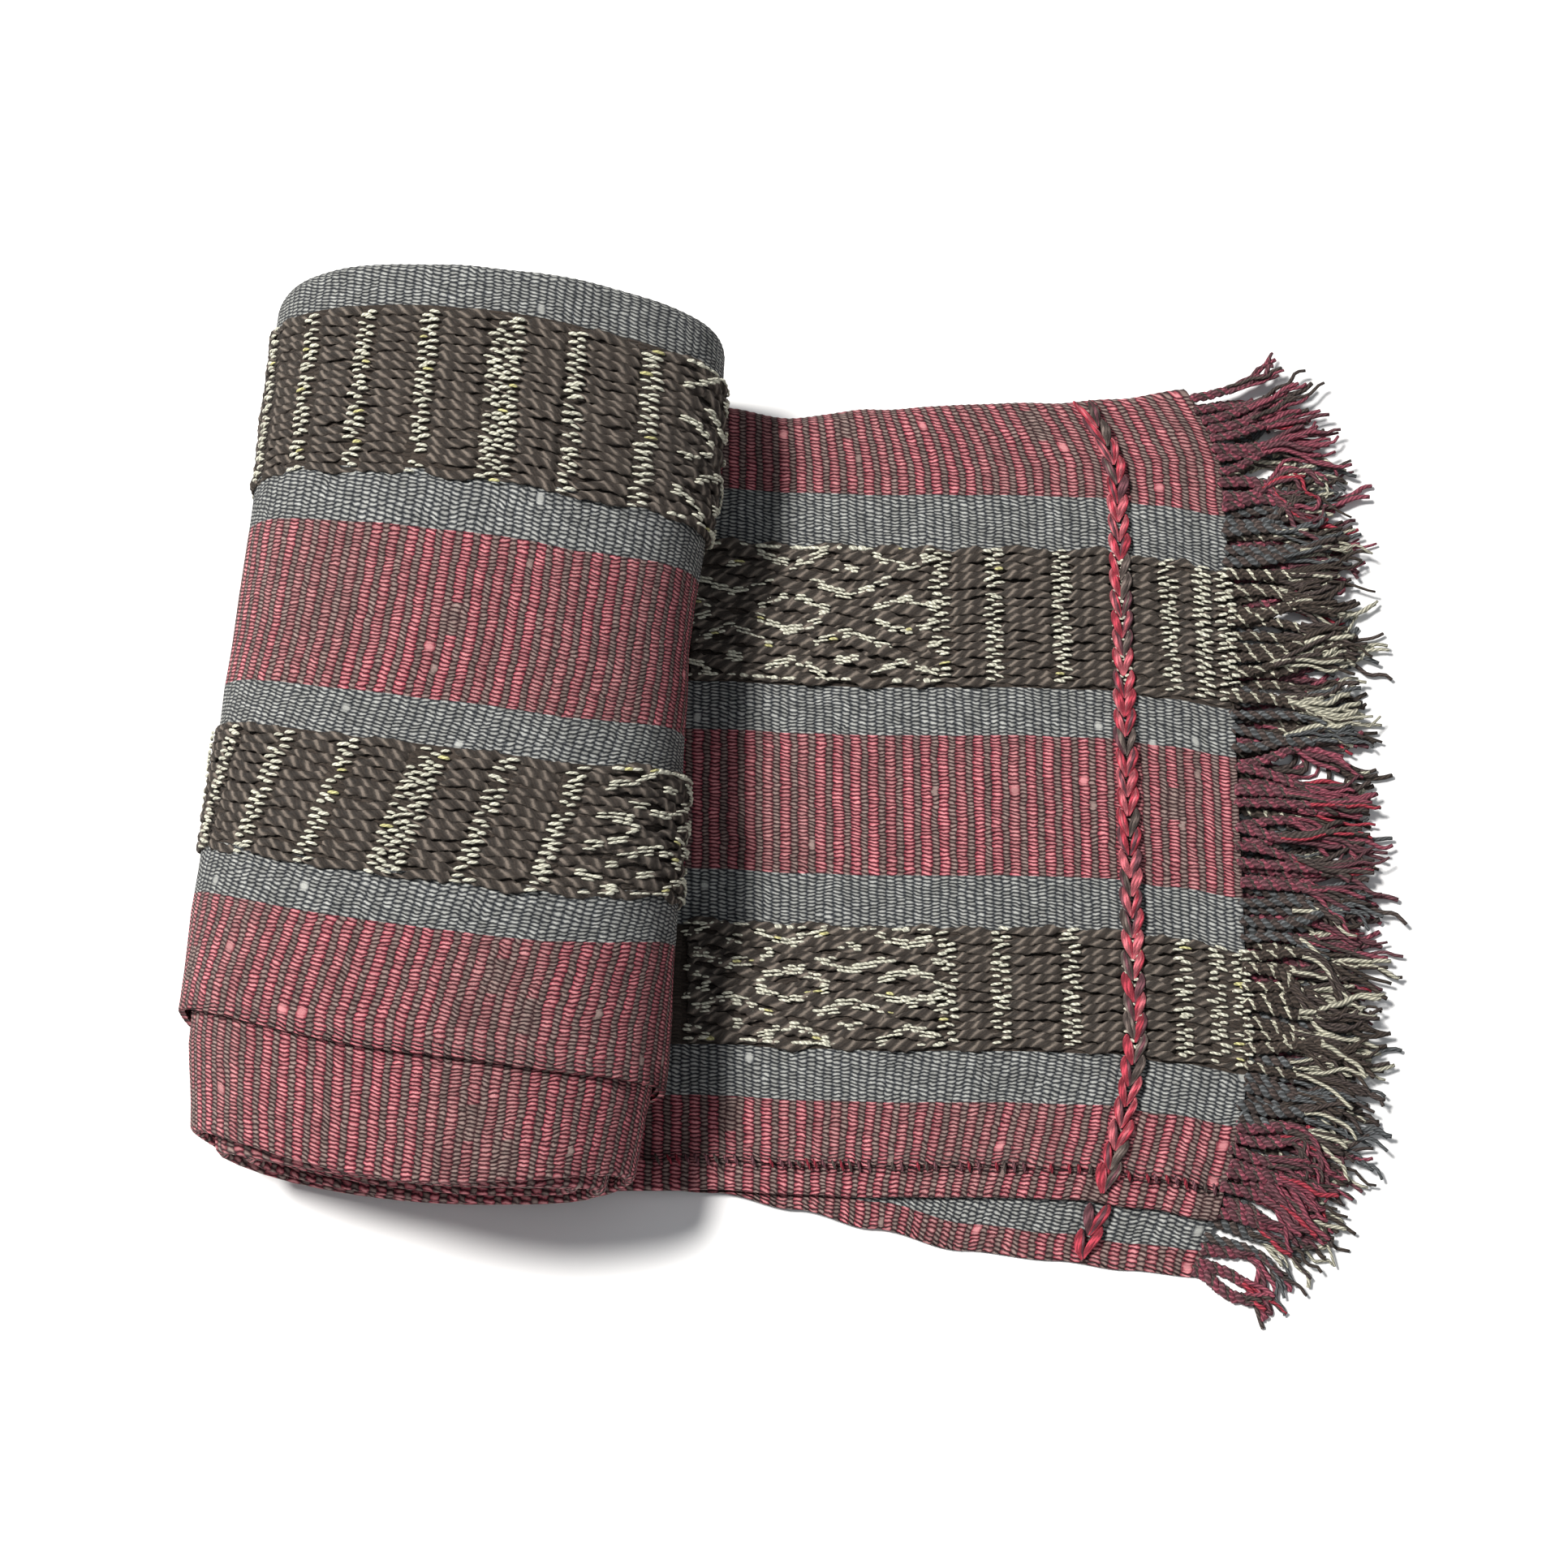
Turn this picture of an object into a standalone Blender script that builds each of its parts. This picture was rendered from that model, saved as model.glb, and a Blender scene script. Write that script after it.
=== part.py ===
"""A thick striped throw: folded in four along its length, then rolled up from one end.

Metres, +Z up. A spot in the cloth is given by its distance along from the fringed edge, its width
position y behind the near fold, and its offset out of the roll from the middle of the stack.
"""
import bpy
import bmesh
import numpy as np
from math import cos, pi, radians, sin, tau

# Driving dimensions
CLOTH = 0.0022                 # thickness of the cloth
LAYER = 0.0028                 # from the middle of one layer to the next in the stack
GAP = 0.0003                   # between pieces that touch
FOLDED_WIDTH = 0.356           # from the near fold to the outer far fold
PANEL_WIDTH = 0.698            # one loom width
SEAM_FROM_FOLD = 0.0116        # the seam lies on the top layer, just behind the near fold
FLAT_LENGTH = 0.332            # from the cloth's edge to under the middle of the roll
TURNS = 3.72                   # full turns of the roll, counted from its lowest point
ROLL_TOP = 0.111
CORE_HALF = 0.0548             # half the width of the flat core that the turns go round
FLOOR_CAMBER = 0.001           # how far the underside of the roll rises towards its sides
TOP_CAMBER = 0.016             # the same for the outermost turn's top
CAMBER_LOST = 0.004            # of that top camber, for each turn inwards
TURN_GAP = 0.0007              # air between one turn and the next
AXIS_LEAN = 0.066              # the roll's axis leans this far to the right for each metre back
WRAP_SLOPE = 0.098             # and its turns come nearer by this much for each metre to the right
ROLL_CENTRE = (-0.136, 0.180)  # the axis in plan, behind the near fold
LEAN_STARTS = 0.235            # along the cloth: the roll's right side
LEAN_ENDS = 0.420              # along the cloth: its left side
ROLL_HALF = 0.100              # about half the roll's width
NEAR_CURL = 0.013              # the near end of the roll is set back this much at its two sides
TAPER = 0.065                  # the far end of the roll is this much narrower than the near end
NEAR_WIDER = 0.02              # and the near end this much wider than the path
RISE = 0.05                    # the far end is this much taller
NEAR_TAPER = 0.05              # the near fold of the roll is this much narrower, straight up to this line
NEAR_LINE = 0.036
DROOP_STARTS = 0.001           # the third layer sinks to the floor this far in front of the near fold
DROOP_WIDTH = 0.020            # over this width
WEFT_BOW = 0.0165              # the wefts lag this far at both long folds
NEAR_BOW_WIDTH = 0.070         # they start to lag this far from the near fold
FAR_BOW_WIDTH = 0.042
BOW_ENDS = 0.225               # along the cloth: the wefts run straight from here on
BOW_FADE = 0.160
CENTRE = (0.0088, 0.1662)       # middle of the whole part, in the plan in which the folds are set out

# Width positions of the four layers' edges, at distances along the cloth. The near fold is 0 in
# a straight stack, far_out is the outer fold's reach, and the last two are the free edges of the
# third layer and of the bottom one.
EDGES = [
    # along, near_fold, far_out, lower_edge, floor_edge
    (0.000, -0.010, 0.363, -0.033, 0.020),
    (0.030, -0.005, 0.359, -0.030, 0.014),
    (0.060, -0.001, 0.357, -0.026, 0.010),
    (0.100, 0.000, 0.356, -0.022, 0.008),
    (0.150, 0.000, 0.354, -0.013, 0.008),
    (0.190, 0.001, 0.349, -0.005, 0.008),
    (0.225, 0.003, 0.355, 0.002, 0.010),
    (0.300, 0.003, 0.358, 0.010, 0.015),
    (0.380, -0.002, 0.364, 0.036, 0.034),
    (0.460, 0.000, 0.370, 0.052, 0.046),
    (0.580, -0.007, 0.372, 0.051, 0.041),
    (0.680, -0.001, 0.372, 0.036, 0.034),
    (0.900, -0.005, 0.368, 0.040, 0.040),
    (1.200, -0.004, 0.366, 0.040, 0.040),
    (1.800, 0.000, 0.364, 0.036, 0.040),
]

EDGE_LIFT = 0.0003             # the flat part's edges curl up this little, so that it rests on its middle
FAR_LINE = 0.310               # width position where the far side starts to curl up
END_ROW = 0.020                # along the cloth: the fringed end curls up from here
BULGE = 0.007                  # the roll's far right side stands out this much
BULGE_STARTS = 0.045           # to the right of the roll's axis, and over this width
BULGE_WIDTH = 0.050
BULGE_LINES = (0.240, FAR_LINE)  # width positions where that starts, and where it is full
FLAT_ROWS = (0.0, END_ROW, 0.045, 0.080, 0.120, 0.155, 0.175, 0.192, 0.210, 0.240, 0.285)
BEND_STEPS = (22.5, 22.5, 22.5, 22.5, 45, 45, 45)   # degrees between rows, for each half turn
RUN_ENDS = (4, 9)              # degrees from straight down, and from straight up, where a run ends
STRAND = 0.0034                # width of a fringe strand at its root
STRAND_HEIGHT = 0.0020
STRIP = 0.003                  # width of the strip that holds a layer's strands
STRIP_GAP = 0.0009             # from the cloth's edge, whose corners it cuts a little
STRAND_SWAY = radians(1.6)
STRAND_STEPS = {
    # share of the length, width, height
    "fine": [(0.40, 0.95, 0.95), (0.80, 0.80, 0.80), (1.00, 0.35, 0.50)],
    "plain": [(0.60, 0.90, 0.90), (1.00, 0.40, 0.50)],
}
FRINGE_FAN = [
    # share of the folded width, degrees from +X towards the far side, length
    (-0.10, -58, 0.45),
    (-0.02, -52, 0.60),
    (0.10, -26, 0.90),
    (0.30, -10, 1.00),
    (0.60, 2, 1.00),
    (0.85, 12, 0.95),
    (1.00, 34, 0.85),
]
CHAIN_ALONG = 0.048            # the chain row's distance from the fringed edge
CHAIN_FROM_FOLD = 0.003        # from both long folds of the top layer
CHAIN_FROM_EDGE = 0.0015       # from the third layer's free edge
CHAIN_UNDER_FOLD = 0.004       # and from the near fold above it
CHAIN_WIDTH = 0.0095
CHAIN_HEIGHT = 0.0024
LINK = 0.009
LINK_PINCH = 0.72
LAYER_START = -0.05            # marks of a layer's own ends, in the table of columns
LAYER_END = 1.0
SQUEEZE = 0.04                 # columns that a layer's start has passed stay this far apart, by their marks
ALL_LAYER = (LAYER_START, NEAR_LINE, 0.075, *BULGE_LINES, LAYER_END)
COLUMNS = {
    "floor_layer": ALL_LAYER,
    "far_fold": (0.25, 0.5, 0.75),
    "top_layer": ALL_LAYER[::-1],
    "top_edge": (1.0, 0.0),
    "near_fold": (0.33, 0.67),
    "upper_layer": ALL_LAYER,
    "inner_fold": (0.33, 0.67),
    "lower_layer": (*ALL_LAYER[:0:-1], 0.0, -0.018, LAYER_START),
}
LAYERS = {
    "fringe_top": {"part": "top_layer", "strands": 44, "length": 0.058, "droop": 0.25, "fan": 1.0,
                   "steps": "fine"},
    "fringe_upper": {"part": "upper_layer", "strands": 32, "length": 0.062, "droop": 0.25, "fan": 0.8,
                     "steps": "plain"},
    "fringe_lower": {"part": "lower_layer", "strands": 38, "length": 0.066, "droop": 0.25, "fan": 0.9,
                     "steps": "plain"},
    "fringe_floor": {"part": "floor_layer", "strands": 32, "length": 0.050, "droop": 0.0, "fan": 0.45,
                     "steps": "plain"},
}
FINISHES = {
    "red_stripe_cloth": (0.33, 0.08, 0.10),
    "grey_stripe_cloth": (0.12, 0.12, 0.12),
    "chain_yarn": (0.40, 0.07, 0.10),
    "fringe_yarn": (0.14, 0.07, 0.07),
}

BUNDLE = 3 * LAYER + CLOTH     # thickness of the four layers
PITCH = BUNDLE + TURN_GAP
START_REACH = (ROLL_TOP - BUNDLE + PITCH / 2 - TOP_CAMBER - FLOOR_CAMBER) / 2
ROLL_HEIGHT = BUNDLE / 2 + FLOOR_CAMBER + START_REACH
OUTER_FOLD = 1.5 * LAYER       # radius of the far fold, around the two inner layers
INNER_FOLD = 0.5 * LAYER


def smooth(value):
    value = np.clip(value, 0.0, 1.0)
    return value * value * (3 - 2 * value)


def edge_at(column, along):
    """A column of EDGES at a distance along the cloth, eased between its rows."""
    rows = np.array(EDGES)
    spot = np.clip(np.searchsorted(rows[:, 0], along, side="right") - 1, 0, len(rows) - 2)
    share = (along - rows[spot, 0]) / (rows[spot + 1, 0] - rows[spot, 0])
    return rows[spot, column] + smooth(share) * (rows[spot + 1, column] - rows[spot, column])


def wind_path(samples=24000):
    """The middle of the stack seen from the near end: a flat run, then turns around a flat core.

    Each turn is an offset of the one inside it, worked out from its reach in every direction.
    """
    angle = np.linspace(0, TURNS * tau, samples)
    turn = angle / tau
    camber = np.where(np.cos(angle) > 0, FLOOR_CAMBER, TOP_CAMBER - CAMBER_LOST * (turn - 0.5))
    core = np.hypot(CORE_HALF * np.sin(angle), camber * np.cos(angle))
    slope = (CORE_HALF**2 - camber**2) * np.sin(angle) * np.cos(angle) / core - PITCH / tau
    reach = core + START_REACH - PITCH * turn
    x = -reach * np.sin(angle) - slope * np.cos(angle)
    z = ROLL_HEIGHT - reach * np.cos(angle) + slope * np.sin(angle)
    run = np.concatenate([[0.0], np.cumsum(np.hypot(np.diff(x), np.diff(z)))])
    return {"along": run + FLAT_LENGTH - x[0], "angle": angle, "x": x, "z": z}


PATH = wind_path()
ROLL_START = PATH["along"][0]
LENGTH = PATH["along"][-1]


def path_at(along):
    """x, z and the direction that points out of the roll, at distances along the cloth."""
    angle = np.interp(along, PATH["along"], PATH["angle"])
    x = np.interp(along, PATH["along"], PATH["x"]) + np.maximum(ROLL_START - along, 0)
    z = np.interp(along, PATH["along"], PATH["z"])
    return x, z, -np.sin(angle), -np.cos(angle)


def weft_bow(y, along):
    """How far the wefts lag behind at this place in the width."""
    far = edge_at(2, along)
    near = edge_at(1, along)
    near_part = np.clip(1 - (y - near) / NEAR_BOW_WIDTH, 0, 1.3) ** 1.4
    far_part = np.clip(1 - (far - y) / FAR_BOW_WIDTH, 0, 1.2) ** 1.6
    return WEFT_BOW * (near_part + far_part)


def across(mark, start, end):
    """Width position of a column: its mark, kept between the layer's own ends."""
    passed = start + SQUEEZE * (mark - LAYER_START)
    return np.where(mark >= LAYER_END, end, np.maximum(mark, passed))


def section_at(share, part, along):
    """Width position and outward offset of a layer or fold of the stack, at its share."""
    near, far, edge, floor_edge = (edge_at(column, along) for column in (1, 2, 3, 4))
    seam = near + SEAM_FROM_FOLD
    inner = np.minimum((PANEL_WIDTH - SEAM_FROM_FOLD + near + edge) / 2, far - OUTER_FOLD)
    flat = np.zeros_like(near + share)
    if part == "floor_layer":
        return across(share, floor_edge, far - OUTER_FOLD), flat + 1.5 * LAYER
    if part == "far_fold":
        turn = pi * share
        return far - OUTER_FOLD + OUTER_FOLD * np.sin(turn), flat + OUTER_FOLD * np.cos(turn)
    if part == "top_layer":
        return across(share, seam + GAP / 2, far - OUTER_FOLD), flat - 1.5 * LAYER
    if part == "top_edge":
        return near + INNER_FOLD + share * (seam - GAP / 2 - near - INNER_FOLD), flat - 1.5 * LAYER
    if part == "near_fold":
        turn = pi * share
        y = near + INNER_FOLD - INNER_FOLD * np.sin(turn)
        return y, flat - LAYER - INNER_FOLD * np.cos(turn)
    if part == "upper_layer":
        return across(share, near + INNER_FOLD, inner - INNER_FOLD), flat - 0.5 * LAYER
    if part == "inner_fold":
        turn = pi * share
        return inner - INNER_FOLD + INNER_FOLD * np.sin(turn), flat - INNER_FOLD * np.cos(turn)
    y = across(share, edge, inner - INNER_FOLD)
    droop = LAYER * smooth((near - DROOP_STARTS - y) / DROOP_WIDTH)
    return y, flat + 0.5 * LAYER + droop


def edge_curl(along, y):
    """How far every layer is lifted near the edges of the flat part."""
    near_share = np.clip((NEAR_LINE - y) / NEAR_LINE, 0, 1)
    far_share = np.clip((y - FAR_LINE) / (FOLDED_WIDTH - FAR_LINE), 0, 1)
    end_share = np.clip((END_ROW - along) / END_ROW, 0, 1)
    share = np.maximum(np.maximum(near_share, far_share), end_share)
    return EDGE_LIFT * share * (1 - smooth((along - ROLL_START) / (LEAN_ENDS - ROLL_START)))


def place(along, y, offset):
    """World position of a spot in the stack: along the cloth, in its width, and out of the roll."""
    fade = smooth((BOW_ENDS - along) / BOW_FADE)
    x, z, out_x, out_z = path_at(along + fade * weft_bow(y, along))
    x = x + out_x * offset
    z = z + out_z * offset
    wound = smooth((along - LEAN_STARTS) / (LEAN_ENDS - LEAN_STARTS))
    depth = y / FOLDED_WIDTH
    x = x * (1 - wound * (TAPER * smooth(depth) - NEAR_WIDER))
    z = z * (1 + wound * RISE * depth)
    x = x * (1 - wound * NEAR_TAPER * np.clip(1 - y / NEAR_LINE, 0, 1.2))
    far_share = np.clip((y - BULGE_LINES[0]) / (BULGE_LINES[1] - BULGE_LINES[0]), 0, 1)
    right_bulge = smooth((x - BULGE_STARTS) / BULGE_WIDTH) * far_share
    x = x + wound * BULGE * right_bulge
    curl = NEAR_CURL * (1 - depth) * (x / ROLL_HALF) ** 2
    back = y + wound * curl - ROLL_CENTRE[1]
    world_x = ROLL_CENTRE[0] + x + wound * AXIS_LEAN * back
    world_y = ROLL_CENTRE[1] - wound * WRAP_SLOPE * x + back
    z = z + edge_curl(along, y)
    return np.stack([world_x - CENTRE[0], world_y - CENTRE[1], z], axis=-1)


def stations():
    """Distances along the cloth where the panels have a row of points."""
    angles = []
    for half_turn, step in enumerate(BEND_STEPS):
        leave, arrive = RUN_ENDS[half_turn % 2], RUN_ENDS[(half_turn + 1) % 2]
        bend = np.arange(step, 180, step)
        angles += [180 * half_turn + angle for angle in (0, leave, *bend, 180 - arrive)]
    last = 180 * len(BEND_STEPS)
    angles += [last, last + RUN_ENDS[1]]
    wound = np.interp(np.radians(angles), PATH["angle"], PATH["along"])
    return np.concatenate([FLAT_ROWS, wound])


def material(name, colour, roughness=0.95):
    made = bpy.data.materials.new(name)
    made.use_nodes = True
    shader = made.node_tree.nodes["Principled BSDF"]
    shader.inputs["Base Color"].default_value = (*colour, 1.0)
    shader.inputs["Roughness"].default_value = roughness
    shader.inputs["Metallic"].default_value = 0.0
    return made


def add_object(name, data, collection, finish):
    made = bpy.data.objects.new(name, data)
    data.materials.append(finish)
    collection.objects.link(made)
    return made


def panel(name, parts, collection, finish):
    """One loom width: a grid wound into its layers and folds, and given its thickness."""
    rows = stations()
    columns = [(part, share) for part in parts for share in COLUMNS[part]]
    mesh = bmesh.new()
    bmesh.ops.create_grid(mesh, x_segments=len(rows) - 1, y_segments=len(columns) - 1, size=1)
    mesh.verts.ensure_lookup_table()
    for column, (part, share) in enumerate(columns):
        y, offset = section_at(share, part, rows)
        spots = place(rows, y, offset)
        for row, spot in enumerate(spots):
            mesh.verts[column * len(rows) + row].co = spot
    data = bpy.data.meshes.new(name)
    mesh.to_mesh(data)
    mesh.free()
    made = add_object(name, data, collection, finish)
    shell = made.modifiers.new("cloth", "SOLIDIFY")
    shell.thickness = CLOTH
    shell.offset = 0
    shell.use_even_offset = True
    shell.use_quality_normals = True
    for face in data.polygons:
        face.use_smooth = True
    return made


def cloth_line(part, along):
    """The panel's own corner points across one flat layer, from its near side to its far side."""
    shares = np.array(sorted(COLUMNS[part]))
    rows = np.full(len(shares), along)
    y, offset = section_at(shares, part, rows)
    return place(rows, y, offset)


def fringe(name, layer, collection, finish, seed):
    """Twisted warp ends of one layer, fused at their roots to a narrow strip at the cloth's edge."""
    rng = np.random.default_rng(seed)
    edge = cloth_line(layer["part"], 0.0) + (STRIP_GAP, 0, 0)
    low, high = edge[0, 1], edge[-1, 1]
    count = layer["strands"]
    cell = (high - low) / count
    marks = [low]
    for strand in range(count):
        middle = low + (strand + 0.5) * cell
        marks += [middle - STRAND / 2, middle + STRAND / 2]
    marks = np.array(marks + [high])
    mesh = bmesh.new()
    bmesh.ops.create_grid(mesh, x_segments=len(marks) - 1, y_segments=1, size=1)
    mesh.verts.ensure_lookup_table()
    x = np.interp(marks, edge[:, 1], edge[:, 0])
    bottom = np.maximum(np.interp(marks, edge[:, 1], edge[:, 2]) - STRAND_HEIGHT / 2, 0.0)
    for side in (0, 1):
        for number, y in enumerate(marks):
            mesh.verts[side * len(marks) + number].co = (x[number] + side * STRIP, y, bottom[number])
    raised = bmesh.ops.extrude_face_region(mesh, geom=mesh.faces[:])
    for spot in raised["geom"]:
        if isinstance(spot, bmesh.types.BMVert):
            spot.co.z += STRAND_HEIGHT
    bmesh.ops.recalc_face_normals(mesh, faces=mesh.faces)
    ends = [face for face in mesh.faces if face.normal.x > 0.4 and abs(face.normal.z) < 0.4]
    ends.sort(key=lambda face: face.calc_center_median().y)
    for strand, face in enumerate(ends[1::2]):
        share = (low + (strand + 0.5) * cell + CENTRE[1]) / FOLDED_WIDTH
        turn = radians(fan_at(1, share)) * layer["fan"] + rng.uniform(-1, 1) * STRAND_SWAY
        length = layer["length"] * fan_at(2, share) * rng.uniform(0.78, 1.0)
        grow_strand(mesh, face, turn, length, layer)
    data = bpy.data.meshes.new(name)
    mesh.to_mesh(data)
    mesh.free()
    return add_object(name, data, collection, finish)


def fan_at(column, share):
    """A column of FRINGE_FAN at a share of the folded width."""
    rows = np.array(FRINGE_FAN)
    return float(np.interp(share, rows[:, 0], rows[:, column]))


def grow_strand(mesh, face, turn, length, layer):
    """Extrudes one strand from the strip in steps, thinner and a little lower at each."""
    start = face.calc_center_median()
    low = min(vert.co.z for vert in face.verts)
    for share, wide, high in STRAND_STEPS[layer["steps"]]:
        face = bmesh.ops.extrude_discrete_faces(mesh, faces=[face])["faces"][0]
        bend = turn * (0.55 + 0.45 * share)
        middle_x = start.x + length * share * cos(bend)
        middle_y = start.y + length * share * sin(bend)
        bottom = low * (1 - layer["droop"] * share)
        verts = sorted(face.verts, key=lambda vert: (vert.co.z, vert.co.y))
        half = STRAND * wide / 2
        for vert, side in zip(verts, (-1, 1, -1, 1)):
            top = vert in verts[2:]
            vert.co = (middle_x - side * half * sin(turn), middle_y + side * half * cos(turn),
                       bottom + (STRAND_HEIGHT * high if top else 0.0))


def chain_row(name, part, first, last, collection, finish):
    """A row of thick chain stitch lying on the cloth: a flattened tube, pinched at every link."""
    line = cloth_line(part, CHAIN_ALONG)
    y = np.linspace(first, last, 2 * round((last - first) / LINK) + 1) - CENTRE[1]
    spots = place(np.full(len(y), CHAIN_ALONG), y + CENTRE[1], 0.0)
    spots[:, 2] = np.interp(y, line[:, 1], line[:, 2]) + CLOTH / 2 + GAP + CHAIN_HEIGHT / 2
    flat = CHAIN_HEIGHT / CHAIN_WIDTH
    data = bpy.data.curves.new(name, "CURVE")
    data.dimensions = "3D"
    data.bevel_depth = CHAIN_WIDTH / 2
    data.bevel_resolution = 1
    data.use_fill_caps = True
    spline = data.splines.new("POLY")
    spline.points.add(len(spots) - 1)
    for number, spot in enumerate(spots):
        spline.points[number].co = (spot[0], spot[1], spot[2] / flat, 1)
        spline.points[number].radius = 1.0 if number % 2 else LINK_PINCH
    made = add_object(name, data, collection, finish)
    made.scale = (1, 1, flat)
    return made


def build():
    for old in list(bpy.data.objects):
        bpy.data.objects.remove(old, do_unlink=True)
    collection = bpy.data.collections.new("throw_blanket")
    bpy.context.scene.collection.children.link(collection)
    finish = {name: material(name, colour) for name, colour in FINISHES.items()}
    panel("panel_one", ["floor_layer", "far_fold", "top_layer"], collection, finish["red_stripe_cloth"])
    panel("panel_two", ["top_edge", "near_fold", "upper_layer", "inner_fold", "lower_layer"],
          collection, finish["grey_stripe_cloth"])
    near, far, edge = (float(edge_at(column, CHAIN_ALONG)) for column in (1, 2, 3))
    chain_row("chain_row_top", "top_layer", near + CHAIN_FROM_FOLD, far - CHAIN_FROM_FOLD, collection,
              finish["chain_yarn"])
    chain_row("chain_row_edge", "lower_layer", edge + CHAIN_FROM_EDGE, near - CHAIN_UNDER_FOLD,
              collection, finish["chain_yarn"])
    for seed, (name, layer) in enumerate(LAYERS.items()):
        fringe(name, layer, collection, finish["fringe_yarn"], seed)


build()
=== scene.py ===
from functools import partial
from math import cos, pi, radians, sin, tau

import bpy
import numpy as np
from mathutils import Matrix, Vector


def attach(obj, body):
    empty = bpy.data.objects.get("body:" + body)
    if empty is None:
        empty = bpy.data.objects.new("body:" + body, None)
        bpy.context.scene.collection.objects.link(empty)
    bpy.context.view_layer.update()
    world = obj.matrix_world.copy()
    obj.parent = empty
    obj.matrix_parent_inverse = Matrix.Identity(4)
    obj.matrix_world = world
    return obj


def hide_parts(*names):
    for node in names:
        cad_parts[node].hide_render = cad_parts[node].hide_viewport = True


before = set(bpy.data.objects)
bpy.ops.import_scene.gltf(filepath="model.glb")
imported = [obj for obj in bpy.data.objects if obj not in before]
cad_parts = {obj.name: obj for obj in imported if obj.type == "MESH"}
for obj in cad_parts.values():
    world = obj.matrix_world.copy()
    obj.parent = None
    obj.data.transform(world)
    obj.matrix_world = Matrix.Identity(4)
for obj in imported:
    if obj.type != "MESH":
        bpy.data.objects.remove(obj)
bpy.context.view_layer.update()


def srgb(red, green, blue):
    values = np.array([red, green, blue]) / 255
    return tuple(float(v) for v in np.where(values > 0.04045, ((values + 0.055) / 1.055) ** 2.4,
                                            values / 12.92))


# The throw's own sizes, in metres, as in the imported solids
cloth = {
    "thick": 0.0022, "layer": 0.0028, "gap": 0.0003, "foldedWidth": 0.356, "panelWidth": 0.698,
    "seamFromFold": 0.0116, "flatLength": 0.332, "turns": 3.72, "rollTop": 0.111, "coreHalf": 0.0548,
    "floorCamber": 0.001, "topCamber": 0.016, "camberLost": 0.004, "turnGap": 0.0007,
    "axisLean": 0.066, "wrapSlope": 0.098, "rollCentre": (-0.136, 0.180), "leanStarts": 0.235,
    "leanEnds": 0.420, "rollHalf": 0.100, "nearCurl": 0.013, "taper": 0.065, "nearWider": 0.02,
    "rise": 0.05, "nearTaper": 0.05, "nearLine": 0.036, "droopStarts": 0.001, "droopWidth": 0.020,
    "weftBow": 0.0165, "nearBowWidth": 0.070, "farBowWidth": 0.042, "bowEnds": 0.225, "bowFade": 0.160,
    "centre": (0.0088, 0.1662), "bulge": 0.007, "bulgeStarts": 0.045, "bulgeWidth": 0.050,
    "bulgeLines": (0.240, 0.310), "edgeLift": 0.0003, "endRow": 0.020,
}
edges = [
    # along, near fold, far fold, the third layer's free edge, the bottom layer's free edge
    (0.000, -0.010, 0.363, -0.033, 0.020),
    (0.030, -0.005, 0.359, -0.030, 0.014),
    (0.060, -0.001, 0.357, -0.026, 0.010),
    (0.100, 0.000, 0.356, -0.022, 0.008),
    (0.150, 0.000, 0.354, -0.013, 0.008),
    (0.190, 0.001, 0.349, -0.005, 0.008),
    (0.225, 0.003, 0.355, 0.002, 0.010),
    (0.300, 0.003, 0.358, 0.010, 0.015),
    (0.380, -0.002, 0.364, 0.036, 0.034),
    (0.460, 0.000, 0.370, 0.052, 0.046),
    (0.580, -0.007, 0.372, 0.051, 0.041),
    (0.680, -0.001, 0.372, 0.036, 0.034),
    (0.900, -0.005, 0.368, 0.040, 0.040),
    (1.200, -0.004, 0.366, 0.040, 0.040),
    (1.800, 0.000, 0.364, 0.036, 0.040),
]
bundle = 3 * cloth["layer"] + cloth["thick"]
pitch = bundle + cloth["turnGap"]
startReach = (cloth["rollTop"] - bundle + pitch / 2 - cloth["topCamber"] - cloth["floorCamber"]) / 2
rollHeight = bundle / 2 + cloth["floorCamber"] + startReach
outerFold = 1.5 * cloth["layer"]
innerFold = 0.5 * cloth["layer"]

# How far the wefts of the roll lag behind on its near side, by width position
rollLag = [(-0.02, 0.040), (0.050, 0.040), (0.100, 0.030), (0.122, 0.025), (0.171, 0.011),
           (0.200, 0.0055), (0.285, 0.0), (0.40, 0.0)]
lagSpan = {"starts": 0.255, "over": 0.09, "ends": 0.86, "endsOver": 0.12}  # the stretch of cloth that lags
bowShape = {"nearPower": 1.4, "nearMost": 1.3, "farPower": 1.6, "farMost": 1.2}

# How far the stripes of the roll sag towards its near end
sagTable = [
    # along, in the near half, at the far end
    (0.440, 0.0000, 0.0000), (0.500, 0.0032, 0.0009), (0.530, 0.0033, -0.0006), (0.560, 0.0025, -0.0026),
    (0.595, 0.0025, -0.0030), (0.625, 0.0015, -0.0038), (0.650, -0.0027, -0.0063), (0.675, -0.0080, -0.0090),
    (0.700, -0.0110, -0.0110), (0.760, -0.0110, -0.0110), (0.850, 0.0, 0.0),
]
sagFar = {"starts": 0.25, "over": 0.035}  # width position where the far end's sag takes over

uneven = {"broad": 0.0007, "fine": 0.0002}  # half the height of the cloth's soft unevenness
rowSpans = {
    # along the cloth: where the fine rows run, and the few rows under the roll and inside it
    "flat": (0, 0.2497), "underRoll": (0.2520, 0.3680, 14), "roll": (0.3705, 0.7750),
    "inside": 0.7800, "insideRows": 100,
}
shown = {
    # along the cloth: where the flat part goes out of sight under the roll, and where the roll is seen
    "flatEnds": 0.225, "flatOver": 0.02, "rollStarts": 0.365, "rollEnds": 0.74, "rollOver": 0.03,
    "upperEnds": 0.10, "upperOver": 0.05, "lowerEnds": 0.05, "lowerOver": 0.03,
}

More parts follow.
